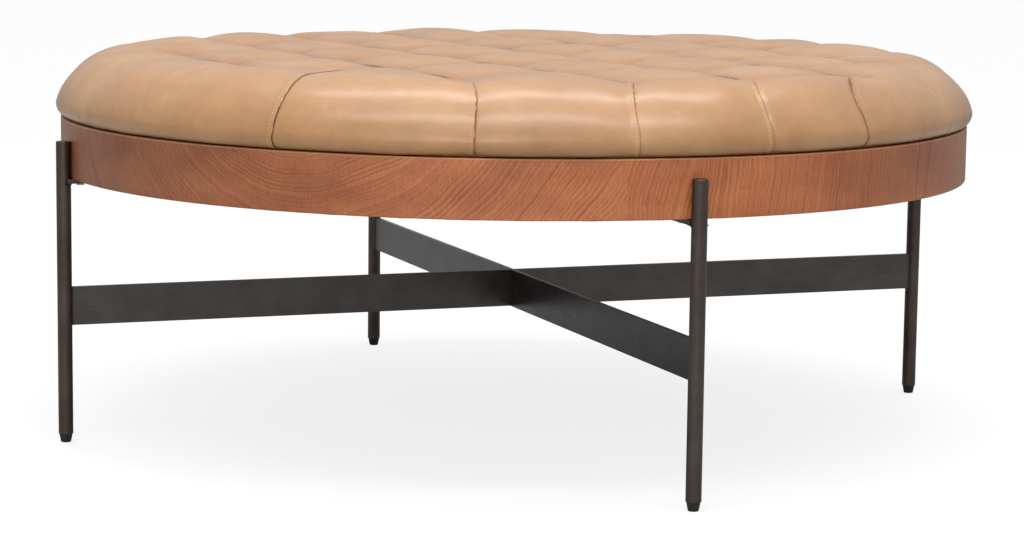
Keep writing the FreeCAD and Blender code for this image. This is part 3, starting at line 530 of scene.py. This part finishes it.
# %% Simulate the swelling
SIM_STEP = 9 * MM
SIM_FRAMES = 20
PRESSURE = 16
START_IN = 5 * MM
START_FADE = 60 * MM
START_END = 14 * MM
SWELL_CAP = 14 * MM
FOLD_HOLD = 11 * MM
FOLD_WEIGHT = 0.8
TUFT_HOLD = 12 * MM
EDGE_HOLD = 8 * MM
HALF_COUNT = int(PATTERN_RADIUS / SIM_STEP) + 2
GRID_COUNT = 2 * HALF_COUNT + 1


def start_in(points):
    """How much smaller the starting form is: least at the held edge, where nothing can swell back."""
    return START_IN * np.clip((EDGE_REACH - START_END - np.hypot(*points.T)) / START_FADE, 0, 1)


def fold_gap(points):
    """Distance of each point from its nearest fold."""
    nearest = np.full(len(points), FAR)
    for fold in folds:
        line = fold["line"]
        near = within(points, line, LOBE_HALF)
        nearest[near] = np.minimum(nearest[near], along_fold(points[near], line)[0])
    return nearest


def swelling_sheet():
    """The plain grid on its smaller form, with its held weights. Gives the object and its places."""
    grid = square_grid(HALF_COUNT, SIM_STEP)
    out = np.hypot(*grid.T)
    kept = out < PATTERN_RADIUS
    base, outward = lay_over(grid)
    start = base - outward * ((pull_down(grid)[0] + start_in(grid)) * above_hem(out))[:, None]
    corner = [r * GRID_COUNT + c for r in range(GRID_COUNT - 1) for c in range(GRID_COUNT - 1)]
    quads = [(k, k + 1, k + GRID_COUNT + 1, k + GRID_COUNT) for k in corner]
    quads = [q for q in quads if all(kept[n] for n in q)]
    mesh = bpy.data.meshes.new("swelling_sheet")
    mesh.from_pydata(start.tolist(), [], quads)
    sheet = put("swelling_sheet", mesh)
    tuft_gap = np.min([np.hypot(*(grid - spot).T) for spot in TUFTS.values()], axis=0)
    hold = FOLD_WEIGHT * np.exp(-(fold_gap(grid) / FOLD_HOLD) ** 2)
    hold = np.maximum(hold, np.exp(-(tuft_gap / TUFT_HOLD) ** 4))
    hold = np.where(out > EDGE_REACH - EDGE_HOLD, 1.0, hold)
    held = sheet.vertex_groups.new(name="held")
    for k, weight in enumerate(hold):
        held.add([k], float(weight), "REPLACE")
    return sheet, start


def blow_up(sheet):
    """Runs the cloth simulation and gives the places that the points reach."""
    cloth = sheet.modifiers.new("cloth", "CLOTH")
    cloth.settings.quality = 5
    cloth.settings.use_pressure = True
    cloth.settings.uniform_pressure_force = PRESSURE
    cloth.settings.effector_weights.gravity = 0
    cloth.settings.vertex_group_mass = "held"
    cloth.collision_settings.use_collision = False
    cloth.point_cache.frame_start, cloth.point_cache.frame_end = 1, SIM_FRAMES
    for frame_number in range(1, SIM_FRAMES + 1):
        bpy.context.scene.frame_set(frame_number)
    finished = sheet.evaluated_get(bpy.context.evaluated_depsgraph_get()).data
    reached = np.empty(3 * len(finished.vertices))
    finished.vertices.foreach_get("co", reached)
    bpy.data.objects.remove(sheet)
    bpy.context.scene.frame_set(1)
    return reached.reshape(-1, 3)


def swelling():
    """The capped movement of every grid point, as a square field."""
    sheet, start = swelling_sheet()
    moved = blow_up(sheet) - start
    length = np.linalg.norm(moved, axis=1)
    print("swelling: usual", round(np.median(length) / MM, 1), "mm, most", round(length.max() / MM, 1), "mm")
    moved *= np.minimum(1, SWELL_CAP / np.maximum(length, 1e-9))[:, None]
    return moved.reshape(GRID_COUNT, GRID_COUNT, 3)


def sample_field(field, points):
    """The field's values between its grid points."""
    place = points / SIM_STEP + HALF_COUNT
    cell = np.clip(np.floor(place).astype(int), 0, GRID_COUNT - 2)
    part = (place - cell)[:, :, None]
    c, r = cell.T
    near = field[r, c] * (1 - part[:, 0]) + field[r, c + 1] * part[:, 0]
    far = field[r + 1, c] * (1 - part[:, 0]) + field[r + 1, c + 1] * part[:, 0]
    return near * (1 - part[:, 1]) + far * part[:, 1]


swell = sample_field(swelling(), flat) - lay_over(flat)[1] * start_in(flat)[:, None]

# %% [markdown]
# ## The stuffed leather
# The points are laid over the stuffing and pulled in along the outward direction. The leather is then
# closed from inside, round the edge of the deck and across the foam, which makes one closed
# cushion. Slow unevenness of the stuffing is a low noise, since no hand-stuffed top is perfect.

# %% The cushion's mesh
UNEVEN = 1.6 * MM
UNEVEN_SIZE = 0.16
UNEVEN_FADE = 15 * MM
FINE_SHARE = 0.4
FINE_SIZE = 0.05
HEM_WAVE = 0.9 * MM
HEM_WAVE_SIZE = 0.045
HEM_PUCKER = 1.2 * MM
HEM_REACH = 16 * MM
LINING_UNDER = 1.2 * MM
LINING_GAP = 0.4 * MM
LINING_RADIUS = 0.3


def cushion_surface(points):
    """Places of the flat disc's points on the tufted top."""
    base, outward = lay_over(points + push)
    out = np.hypot(*points.T)
    soft = np.array([noise.noise(Vector(p) / UNEVEN_SIZE) + FINE_SHARE * noise.noise(Vector(p) / FINE_SIZE)
                     for p in base])
    held = np.clip((EDGE_REACH - out) / UNEVEN_FADE, 0, 1)
    hem = np.exp(-((out - EDGE_REACH) / HEM_REACH) ** 2)
    drawn_up = HEM_WAVE * np.array([noise.noise(Vector(p) / HEM_WAVE_SIZE) for p in base]) + HEM_WAVE
    drawn_up += HEM_PUCKER * np.clip(crease, 0, 1)
    inward = deep + CREASE_DEPTH * crease - LIP_HEIGHT * lip + UNEVEN * (0.5 + soft) * held
    place = base - outward * (inward * above_hem(out))[:, None] + swell
    place[:, 2] += hem * drawn_up
    return place


surface = cushion_surface(flat)
cushion_mesh = bpy.data.meshes.new("tufted_leather_top")
work = bmesh.new()
top_verts = [work.verts.new(p) for p in surface]
for triangle in triangles:
    work.faces.new([top_verts[k] for k in triangle])
rim_edges = [e for e in work.edges if e.is_boundary]
rim_verts = sorted({v for e in rim_edges for v in e.verts}, key=lambda v: math.atan2(v.co.y, v.co.x))
rim_radius = float(np.hypot(rim_verts[0].co.x, rim_verts[0].co.y))
rim_turns = [math.atan2(v.co.y, v.co.x) for v in rim_verts]
under_deck = COVER_BASE + LINING_UNDER
beside_deck, over_deck = deck_high.x + LINING_GAP, deck_high.z + LINING_GAP
rows = [rim_verts]
for radius, height in ((rim_radius, under_deck), (beside_deck, under_deck), (beside_deck, over_deck),
                       (LINING_RADIUS, over_deck)):
    rows.append([work.verts.new((radius * math.cos(a), radius * math.sin(a), height)) for a in rim_turns])
for lower, upper in zip(rows, rows[1:]):
    for k in range(len(lower)):
        n = (k + 1) % len(lower)
        work.faces.new((lower[k], lower[n], upper[n], upper[k]))
work.faces.new(rows[-1])
bmesh.ops.recalc_face_normals(work, faces=work.faces)
work.to_mesh(cushion_mesh)
work.free()
cushion_mesh.shade_smooth()
inside = np.zeros(len(cushion_mesh.vertices) - len(flat))
# The crease, tuck and pull attributes tell the leather material where to paint shade.
for name, values in (("crease", np.clip(crease, 0, 1)), ("tuck", tuck),
                     ("pull", np.clip(deep / (VALLEY_DEPTH + TUFT_EXTRA), 0, 1))):
    layer = cushion_mesh.attributes.new(name, "FLOAT", "POINT")
    layer.data.foreach_set("value", np.concatenate((values, inside)))
cushion = put("tufted_leather_top", cushion_mesh)
print("cushion:", len(cushion_mesh.vertices), "points,", len(cushion_mesh.polygons), "faces")

# %% [markdown]
# ## Leather
# The cover is a smooth, lightly finished full-grain cowhide in tan. Its wax finish gives a soft
# gloss that breaks up over fine pores, and the hide's colour is a little uneven. Painted shade
# darkens the creases, the pulled-down valleys and the under sides of deep tucks. Pores are under
# a millimetre and are drawn about twice as coarse.


# %% Leather material
def tan_leather():
    """Semi-aniline tan cowhide with a satin wax finish."""
    material, tree = new_material("tan_cowhide_wax_finish")
    place = add(tree, "ShaderNodeTexCoord").outputs["Object"]
    cloudy = ramp(tree, grain(tree, place, 90, 4, 0.6), [
        (0.3, "#9F7348"), (0.55, "#A97D51"), (0.75, "#B2865A")])
    mottled = ramp(tree, grain(tree, place, 12, 5, 0.65), [(0.3, "#E9E2DA"), (0.7, "#FFFFFF")])
    colour = mix(tree, "MULTIPLY", 0.5, cloudy, mottled)
    shaded_crease_share = add(tree, "ShaderNodeAttribute", {"attribute_name": "crease"}).outputs["Fac"]
    # Painted shade: the colour darkens and warms where the leather is pulled deep into the valleys.
    valley_shade_share = add(tree, "ShaderNodeAttribute", {"attribute_name": "pull"}).outputs["Fac"]
    colour = mix(tree, "MULTIPLY", levels(tree, valley_shade_share, 0.3, 1.0, 0.0, 0.65), colour, linear("#B8936C"))
    # Painted shade: the colour darkens along the creases, where the folds fall into shade.
    painted_crease_shade = levels(tree, shaded_crease_share, 0.15, 0.9, 0.0, 0.85)
    colour = mix(tree, "MULTIPLY", painted_crease_shade, colour, linear("#7A4A2C"))
    # Painted shadow: the under side of deep tucks is darkened almost to black, as the gap under the lap.
    tuck_shadow_share = add(tree, "ShaderNodeAttribute", {"attribute_name": "tuck"}).outputs["Fac"]
    colour = mix(tree, "MULTIPLY", levels(tree, tuck_shadow_share, 0.2, 0.75, 0.0, 0.92), colour, linear("#33200F"))
    pores = add(tree, "ShaderNodeTexVoronoi", {"feature": "SMOOTH_F1"}, Vector=place, Scale=1000 / 2.2,
                Smoothness=0.7).outputs["Distance"]
    creasing = grain(tree, place, 14, 4, 0.6, 0.6)
    rough = levels(tree, grain(tree, place, 30, 4), 0.3, 0.7, 0.38, 0.46)
    normal = bump(tree, pores, 0.25, 0.25)
    normal = bump(tree, creasing, 1.2, 0.22, normal)
    shader = add(tree, "ShaderNodeBsdfPrincipled", Base_Color=colour, Roughness=rough, Normal=normal,
                 Specular_IOR_Level=0.5, Coat_Weight=0.45, Coat_Roughness=0.26)
    finish_material(tree, shader)
    return material


leather = tan_leather()
cushion_mesh.materials.append(leather)
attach(cushion, "root")
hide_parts("leather_cover", "batting", "foam_pad")
print("leather is on", cushion.name)

# %% [markdown]
# ## Stained wood
# The ring is four arcs sawn from thick boards, so each arc shows its own growth rings, cut at a
# slant that changes along the arc. The pattern is worked out the way a tree grows: rings round the
# board's heart, which runs along the board, with some wander. One turn takes the arc to its own board.


# %% Wood materials
APRON_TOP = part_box("apron_arc_front")[1].z


def stained_wood(name, board_turn, heart, ring_mm, shaded_end_way, seed):
    """Red-brown stained board. heart is the ring centre along and above the board, and how it leans.
    The board is darkened by painted shade towards its +X end where its shade way is 1, and towards the other
    end where it is -1."""
    material, tree = new_material(name)
    place = add(tree, "ShaderNodeTexCoord").outputs["Object"]
    board = stretched(tree, place, (1, 1, 1), -board_turn)
    shifted = add(tree, "ShaderNodeVectorMath", {"operation": "ADD"}, _0=board,
                  _1=(seed * 1.7, 0, 0)).outputs[0]
    slow = add(tree, "ShaderNodeTexNoise", Vector=shifted, Scale=5, Detail=2).outputs["Color"]
    quick = add(tree, "ShaderNodeTexNoise", Vector=shifted, Scale=45, Detail=2).outputs["Color"]
    wander = add(tree, "ShaderNodeVectorMath", {"operation": "MULTIPLY_ADD"}, _0=slow,
                 _1=(0.05, 0.05, 0.05), _2=board).outputs[0]
    wander = add(tree, "ShaderNodeVectorMath", {"operation": "MULTIPLY_ADD"}, _0=quick,
                 _1=(0.0035, 0.0035, 0.0035), _2=wander).outputs[0]
    apart = add(tree, "ShaderNodeSeparateXYZ", Vector=wander)
    along_board = maths(tree, "SUBTRACT", apart.outputs["X"], heart[0])
    along_board = maths(tree, "ADD", along_board, maths(tree, "MULTIPLY", apart.outputs["Y"], heart[2]))
    upward = maths(tree, "SUBTRACT", apart.outputs["Z"], heart[1])
    radius = maths(tree, "SQRT", maths(tree, "ADD", maths(tree, "MULTIPLY", along_board, along_board),
                                       maths(tree, "MULTIPLY", upward, upward)))
    years = maths(tree, "MULTIPLY", radius, 1000 / ring_mm)
    good_years = add(tree, "ShaderNodeTexNoise", {"noise_dimensions": "1D"}, W=years, Scale=0.23,
                     Detail=2).outputs["Fac"]
    years = maths(tree, "MULTIPLY_ADD", good_years, 3.5, years)
    rings = maths(tree, "FRACT", years)
    late = ramp(tree, rings, [
        (0.0, "#FFFFFF"), (0.45, "#F8F1EC"), (0.8, "#D6BBAA"), (0.92, "#CDAF9C"), (1.0, "#F8F1EC")])
    fine = ramp(tree, maths(tree, "FRACT", maths(tree, "MULTIPLY", years, 2.6)), [
        (0.0, "#FFFFFF"), (0.9, "#DCC4B5")])
    patch = grain(tree, shifted, 70, 3)
    fibre = grain(tree, stretched(tree, board, (6, 6, 0.8)), 9, 4, 0.7)
    base = ramp(tree, grain(tree, stretched(tree, shifted, (0.6, 0.6, 1.6)), 80, 4), [
        (0.3, "#AA663C"), (0.5, "#BC7446"), (0.72, "#CA8452")])
    colour = mix(tree, "MULTIPLY", levels(tree, patch, 0.35, 0.65, 0.35, 0.95), base, late)
    colour = mix(tree, "MULTIPLY", levels(tree, patch, 0.35, 0.6, 0.8, 0.3), colour, fine)
    colour = mix(tree, "MULTIPLY", levels(tree, fibre, 0.4, 0.75, 0.0, 0.4), colour, linear("#8A5638"))
    ends = add(tree, "ShaderNodeSeparateXYZ", Vector=board)
    # Painted shade: each arc darkens towards the end that turns away from the light.
    painted_end_shade = levels(tree, maths(tree, "MULTIPLY", ends.outputs["X"], shaded_end_way), -0.28, 0.26, 0.0, 1.0)
    colour = mix(tree, "MULTIPLY", painted_end_shade, colour, linear("#C4C8CE"))
    # The top edge of each arc is drawn lighter.
    lighter_top_edge = levels(tree, ends.outputs["Z"], APRON_TOP - 2.2 * MM, APRON_TOP - 0.8 * MM, 0.0, 0.45)
    colour = mix(tree, "MIX", lighter_top_edge, colour, linear("#C99A76"))
    normal = bump(tree, fibre, 0.12, 0.3)
    shader = add(tree, "ShaderNodeBsdfPrincipled", Base_Color=colour, Normal=normal,
                 Roughness=levels(tree, rings, 0, 1, 0.42, 0.52), Specular_IOR_Level=0.45,
                 Coat_Weight=0.2, Coat_Roughness=0.35)
    finish_material(tree, shader)
    return material


# The fourth value of each arc is the way its painted shade runs.
ARCS = {
    "apron_arc_left": (math.radians(127), (-0.03, 0.60, 0.05), 3.9, 1, 1),
    "apron_arc_front": (math.radians(217), (-0.40, 0.31, 0.03), 4.2, -1, 2),
    "apron_arc_right": (math.radians(307), (0.05, 0.55, 0.05), 3.8, 1, 3),
    "apron_arc_back": (math.radians(37), (-0.08, 0.60, 0.05), 4.0, -1, 4),
}


def paint(names, material):
    """Gives a finish to CAD nodes."""
    for node_name in names:
        slots = nodes[node_name].data.materials
        slots.clear()
        slots.append(material)


for arc_name, board in ARCS.items():
    paint([arc_name], stained_wood("stained_" + arc_name, *board))
print("wood is on", len(ARCS), "arcs")

# %% [markdown]
# ## Steel
# The base is mild steel with a dark bronze patina, brushed before it was coloured. Brushing leaves
# streaks along each bar, which spread highlights across it, and the patina is thinner, so lighter,
# where hands and cloths have rubbed. Brush marks are drawn a millimetre apart.


# %% Steel materials
def patina_steel(name, dark, light, streak_way, rough_low, rough_high):
    """Brushed mild steel, darkened; streak_way stretches the brush marks along the part."""
    material, tree = new_material(name)
    place = add(tree, "ShaderNodeTexCoord").outputs["Object"]
    streaks = grain(tree, stretched(tree, place, streak_way), 1.0, 3, 0.6)
    blotches = grain(tree, place, 45, 4, 0.6)
    colour = ramp(tree, blotches, [(0.3, dark), (0.7, light)])
    streak_tone = ramp(tree, streaks, [(0.3, "#D8D4D0"), (0.7, "#FFFFFF")])
    colour = mix(tree, "MULTIPLY", 0.6, colour, streak_tone)
    shader = add(tree, "ShaderNodeBsdfPrincipled", Base_Color=colour, Metallic=1.0,
                 Roughness=levels(tree, streaks, 0.3, 0.7, rough_low, rough_high),
                 Normal=bump(tree, streaks, 0.05, 0.3))
    finish_material(tree, shader)
    return material


ALONG_Z, ALONG_X, ALONG_Y = (1, 1, 0.02), (0.02, 1, 1), (1, 0.02, 1)
leg_steel = patina_steel("bronze_patina_steel", "#544B48", "#635854", ALONG_Z, 0.36, 0.48)
# Both stretchers are the same steel; the front-to-back bar is given darker tones as painted shade.
bar_x_steel = patina_steel("black_patina_steel_x", "#55504E", "#615C5A", ALONG_X, 0.26, 0.38)
shaded_bar_y_steel = patina_steel("black_patina_steel_y_shaded", "#4A4847", "#565352", ALONG_Y, 0.26, 0.38)
SIDES = ("right", "back", "left", "front")
paint([f"{kind}_{s}" for kind in ("leg", "leg_cap", "mount_tab") for s in SIDES], leg_steel)
paint(["stretcher_left_right"], bar_x_steel)
paint(["stretcher_front_back"], shaded_bar_y_steel)
print("steel is on the legs, bars and tabs")


# %% [markdown]
# ## The small and hidden materials
# Glides are moulded nylon, rails and cleats are plain pine, and the deck is birch plywood whose
# plies show as stripes on its edge. Screws are zinc plated and staples galvanised.

# %% Small materials
PLY = 1.4 * MM


def plain_finish(name, dark, light, size_mm, rough, metallic=0.0, depth_mm=0.1, way=(1, 1, 1)):
    """A finish with cloudy colour and a fine surface, for small pieces."""
    material, tree = new_material(name)
    place = stretched(tree, add(tree, "ShaderNodeTexCoord").outputs["Object"], way)
    texture = grain(tree, place, size_mm, 4, 0.6)
    colour = ramp(tree, texture, [(0.3, dark), (0.7, light)])
    shader = add(tree, "ShaderNodeBsdfPrincipled", Base_Color=colour,
                 Metallic=metallic, Roughness=levels(tree, texture, 0.3, 0.7, rough - 0.06, rough + 0.06),
                 Normal=bump(tree, texture, depth_mm, 0.4))
    finish_material(tree, shader)
    return material


def birch_plywood():
    """Birch plywood, whose every other ply is seen end on and darker."""
    material, tree = new_material("birch_plywood")
    place = add(tree, "ShaderNodeTexCoord").outputs["Object"]
    height = add(tree, "ShaderNodeSeparateXYZ", Vector=place).outputs["Z"]
    ply = maths(tree, "PINGPONG", height, PLY)
    stripe = levels(tree, ply, 0.4 * MM, 1.0 * MM, 0, 1)
    fibre = grain(tree, stretched(tree, place, (0.1, 1, 1)), 6, 4, 0.6)
    face = ramp(tree, fibre, [(0.3, "#C9A878"), (0.7, "#DCC094")])
    colour = mix(tree, "MULTIPLY", levels(tree, stripe, 0, 1, 0, 0.5), face, linear("#A57C4E"))
    finish_material(tree, add(tree, "ShaderNodeBsdfPrincipled", Base_Color=colour, Roughness=0.6,
                              Normal=bump(tree, fibre, 0.1, 0.3)))
    return material


nylon = plain_finish("moulded_black_nylon", "#141413", "#1D1C1B", 1.5, 0.5)
paint([f"foot_glide_{s}" for s in SIDES], nylon)
pine = plain_finish("planed_pine", "#C59B66", "#DDB983", 4, 0.6, way=(0.1, 1, 1))
paint(["rail_left_right", "rail_front_back", "rail_dowels", "apron_tongues"], pine)
paint([f"deck_cleat_{k}" for k in range(1, 5)], pine)
paint(["deck_board"], birch_plywood())
paint(["tab_screws", "cleat_screws"], plain_finish("zinc_plated_steel", "#A9A69C", "#C6C3B8", 2, 0.3, 1.0))
paint(["cover_staples", "dust_staples"], plain_finish("galvanised_wire", "#9A9A98", "#B9B9B6", 1, 0.35, 1.0))
paint(["tuft_anchors"], plain_finish("pressed_fibre_washer", "#3B3733", "#4A453F", 2, 0.7))
paint(["tuft_twine"], plain_finish("waxed_flax_twine", "#B7A27C", "#CDBB97", 0.8, 0.7, way=(1, 1, 0.3)))
dust_material = plain_finish("black_spunbond_cloth", "#1A1A1A", "#2A2A29", 1.6, 0.85)
print("small pieces are finished")

# %% [markdown]
# ## Stitches in the front seams
# The sharpest pleats are sewn shut where they go over the edge. Their stitches follow a line just beside
# the fold. The line is found by casting rays at the finished leather, and Geometry Nodes then sets a
# small spindle of thread at every pitch along it. The result is turned into a plain mesh.

# %% Stitches
STITCH_PITCH = 4.6 * MM
STITCH_LENGTH = 3.0 * MM
THREAD = 0.8 * MM
SEAM_SHARP = 1.2
SEAM_FROM = 0.45
SEAM_TO = 6 * MM
SEAM_ASIDE = 2.4 * MM
RAY_FROM = 30 * MM
THREAD_LIFT = 0.25


def on_leather(points):
    """The places where rays from outside meet the finished leather."""
    tree = BVHTree.FromPolygons([v.co for v in cushion_mesh.vertices],
                                [p.vertices for p in cushion_mesh.polygons])
    places = []
    for base, outward in zip(*lay_over(points)):
        hit = tree.ray_cast(Vector(base + outward * RAY_FROM), Vector(-outward))[0]
        if hit is not None:
            places.append(hit + Vector(outward) * THREAD_LIFT * THREAD)
    return places


def seam_lines():
    """A mesh of edges that follow the sewn part of each seam."""
    seams = bmesh.new()
    for fold in folds:
        if fold["kind"] != "pleat" or fold["sharp"] < SEAM_SHARP:
            continue
        out = np.hypot(*fold["line"].T)
        line = fold["line"][(out > SEAM_FROM) & (out < EDGE_REACH - SEAM_TO)]
        ahead = np.gradient(line, axis=0)
        ahead /= np.hypot(*ahead.T)[:, None]
        way = 1 if fold["lap"] >= 0 else -1
        aside = line + np.column_stack((-ahead[:, 1], ahead[:, 0])) * way * SEAM_ASIDE
        verts = [seams.verts.new(place) for place in on_leather(aside)]
        for one, two in zip(verts, verts[1:]):
            seams.edges.new((one, two))
    mesh = bpy.data.meshes.new("seam_lines")
    seams.to_mesh(mesh)
    seams.free()
    return mesh


def stitch_nodes(thread_material):
    """The node tree that sews, and the sockets that hold its three sizes."""
    tree = bpy.data.node_groups.new("running_stitch", "GeometryNodeTree")
    tree.interface.new_socket("Seam", in_out="INPUT", socket_type="NodeSocketGeometry")
    sizes = [tree.interface.new_socket(name, in_out="INPUT", socket_type="NodeSocketFloat")
             for name in ("Pitch", "Length", "Thread")]
    tree.interface.new_socket("Stitches", in_out="OUTPUT", socket_type="NodeSocketGeometry")
    given = add(tree, "NodeGroupInput").outputs
    line = add(tree, "GeometryNodeMeshToCurve", Mesh=given["Seam"]).outputs[0]
    marks = add(tree, "GeometryNodeResampleCurve", {"mode": "LENGTH"}, Curve=line,
                Length=given["Pitch"]).outputs[0]
    ball = add(tree, "GeometryNodeMeshUVSphere", Segments=6, Rings=4, Radius=0.5).outputs["Mesh"]
    scale = add(tree, "ShaderNodeCombineXYZ", X=given["Thread"], Y=given["Thread"],
                Z=given["Length"]).outputs[0]
    spindle = add(tree, "GeometryNodeTransform", Geometry=ball, Scale=scale).outputs[0]
    along_line = add(tree, "GeometryNodeInputTangent").outputs[0]
    turn = add(tree, "FunctionNodeAlignRotationToVector", {"axis": "Z"}, Vector=along_line).outputs[0]
    sewn = add(tree, "GeometryNodeInstanceOnPoints", Points=marks, Instance=spindle, Rotation=turn).outputs[0]
    real = add(tree, "GeometryNodeRealizeInstances", Geometry=sewn).outputs[0]
    coloured = add(tree, "GeometryNodeSetMaterial", Geometry=real, Material=thread_material).outputs[0]
    add(tree, "NodeGroupOutput", Stitches=coloured)
    return tree, sizes


def sew(seams, thread_material):
    """Sews along the seams and gives the stitches as a plain mesh object."""
    helper = put("seam_lines", seams)
    sewing = helper.modifiers.new("sewing", "NODES")
    sewing.node_group, sizes = stitch_nodes(thread_material)
    for size, value in zip(sizes, (STITCH_PITCH, STITCH_LENGTH, THREAD)):
        sewing[size.identifier] = value
    mesh = bpy.data.meshes.new_from_object(helper.evaluated_get(bpy.context.evaluated_depsgraph_get()))
    mesh.name = "seam_stitches"
    mesh.shade_smooth()
    bpy.data.objects.remove(helper)
    return put("seam_stitches", mesh)


thread = plain_finish("bonded_tan_thread", "#C9A678", "#DDBE92", 0.8, 0.5)
stitches = sew(seam_lines(), thread)
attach(stitches, "root")
print("stitches:", len(stitches.data.polygons), "faces")

# %% [markdown]
# ## The dust cover
# A black spunbond cloth closes the underside. It is cut as a disc with a notch for each leg's tab,
# pulled taut and stapled all round, so it hangs a few millimetres in the middle and shows a little
# pull at each staple. Its outline is the one that the CAD piece has.

# %% Dust cover
DUST_SAG = 4 * MM
DUST_PULL = 0.5 * MM
DUST_PULL_REACH = 0.03
DUST_SLACK = 0.6 * MM
DUST_SLACK_SIZE = 0.12
DUST_STAPLES = 48
DUST_STEP = 16 * MM
dust_low, dust_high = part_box("dust_cover")
DUST_RADIUS = dust_high.x

cut = bmesh.new()
cut.from_mesh(nodes["dust_cover"].data)
bmesh.ops.remove_doubles(cut, verts=cut.verts, dist=0.01 * MM)
cut.normal_update()
outline = [e for e in cut.edges if sorted(f.normal.z < -0.9 for f in e.link_faces) == [False, True]]
outline_verts = sorted({v for e in outline for v in e.verts}, key=lambda v: v.index)
number_of = {v: k for k, v in enumerate(outline_verts)}
outline_edges = [(number_of[e.verts[0]], number_of[e.verts[1]]) for e in outline]
outline_points = [v.co.xy.copy() for v in outline_verts]
cut.free()

inner = [Vector(p) for p in square_grid(int(DUST_RADIUS / DUST_STEP) + 1, DUST_STEP)]
inner = [p for p in inner if p.length < DUST_RADIUS - 0.4 * DUST_STEP]
woven = geometry.delaunay_2d_cdt(outline_points + inner, outline_edges, [], 1, 1e-6)
flat_cloth, cloth_faces = woven[0], woven[2]
cut_area = sum(geometry.area_tri(*(flat_cloth[k].to_3d() for k in face)) for face in cloth_faces)


def hung(point):
    """A point of the cut cloth, as it hangs under the ring."""
    share = min(point.length / DUST_RADIUS, 1)
    pulls = math.cos(DUST_STAPLES * math.atan2(point.y, point.x))
    pulls *= math.exp(-(1 - share) * DUST_RADIUS / DUST_PULL_REACH)
    slack = DUST_SLACK * noise.noise(point.to_3d() / DUST_SLACK_SIZE) * (1 - share)
    height = dust_low.z - DUST_SAG * (1 - share ** 2) + DUST_PULL * (pulls - 1) / 2 + slack
    return (point.x, point.y, height)


dust_mesh = bpy.data.meshes.new("stretched_dust_cloth")
dust_mesh.from_pydata([hung(p) for p in flat_cloth], [], cloth_faces)
dust_mesh.shade_smooth()
dust_mesh.materials.append(dust_material)
dust_cloth = put("stretched_dust_cloth", dust_mesh)
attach(dust_cloth, "root")
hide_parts("dust_cover")
print("dust cover:", len(cloth_faces), "faces, cut area", round(cut_area, 3), "square metres")

# %% [markdown]
# ## Floor and light
# The piece stands on a plain white floor under a large soft sky of light. Two long softboxes hang
# level over it and one more fills in from the front. They are what the leather's rolled edge mirrors
# as pale bands.

# %% Floor and light
FLOOR_GLOW = 0.8
FLOOR_HALF = 30
floor_corners = [(x * FLOOR_HALF, y * FLOOR_HALF, 0) for x, y in ((-1, -1), (1, -1), (1, 1), (-1, 1))]
floor_mesh = bpy.data.meshes.new("studio_floor")
floor_mesh.from_pydata(floor_corners, [], [(0, 1, 2, 3)])
floor = put("studio_floor", floor_mesh)
floor_material, floor_tree = new_material("matt_white_floor")
shaded = add(floor_tree, "ShaderNodeBsdfDiffuse", Color=linear("#FFFFFF")).outputs[0]
bounce = add(floor_tree, "ShaderNodeBsdfDiffuse", Color=linear("#B4B4B4")).outputs[0]
glow = add(floor_tree, "ShaderNodeEmission", Color=(1, 1, 1, 1), Strength=1.0).outputs[0]
seen = add(floor_tree, "ShaderNodeMixShader", _0=FLOOR_GLOW, _1=shaded, _2=glow).outputs[0]
direct = add(floor_tree, "ShaderNodeLightPath").outputs["Is Camera Ray"]
finish_material(floor_tree, add(floor_tree, "ShaderNodeMixShader", _0=direct, _1=bounce, _2=seen))
floor_mesh.materials.append(floor_material)

world = bpy.data.worlds.new("studio")
world.use_nodes = True
sky = world.node_tree
view_way = add(sky, "ShaderNodeTexCoord").outputs["Generated"]
height = add(sky, "ShaderNodeSeparateXYZ", Vector=view_way).outputs["Z"]
sky.links.new(ramp(sky, height, [(0.0, "#9A9A9A"), (0.35, "#C4C4C4"), (1.0, "#F2F2F2")]),
              sky.nodes["Background"].inputs["Color"])
sky.nodes["Background"].inputs["Strength"].default_value = 1.25
bpy.context.scene.world = world
bpy.context.scene.view_settings.view_transform = "Standard"

TO_CAMERA = Vector((math.sin(CAMERA_TURN), -math.cos(CAMERA_TURN), 0))


def softbox(name, place_and_aim, width, depth, power):
    """A rectangular softbox. It shines along its own -Z."""
    light = bpy.data.lights.new(name, "AREA")
    light.shape = "RECTANGLE"
    light.size, light.size_y = width, depth
    light.energy = power
    put(name, light).matrix_world = place_and_aim


def overhead(forward, height):
    """Level over the floor, forward metres from the middle towards the camera."""
    place = TO_CAMERA * forward + Vector((0, 0, height))
    return Matrix.Translation(place) @ Matrix.Rotation(CAMERA_TURN, 4, "Z")


fill_place = TO_CAMERA * 3.6 + Vector((-0.6, 0, 1.6))
fill_aim = -TO_CAMERA * 3.6 + Vector((0.6, 0, -1.2))
fill_turn = fill_aim.to_track_quat("-Z", "Y").to_matrix().to_4x4()
softbox("front_strip", overhead(1.65, 3.0), 3.4, 0.5, 52)
softbox("rear_strip", overhead(-0.25, 3.0), 2.6, 0.5, 34)
softbox("front_fill", Matrix.Translation(fill_place) @ fill_turn, 2.4, 1.2, 30)
print("floor, sky and three softboxes are set")
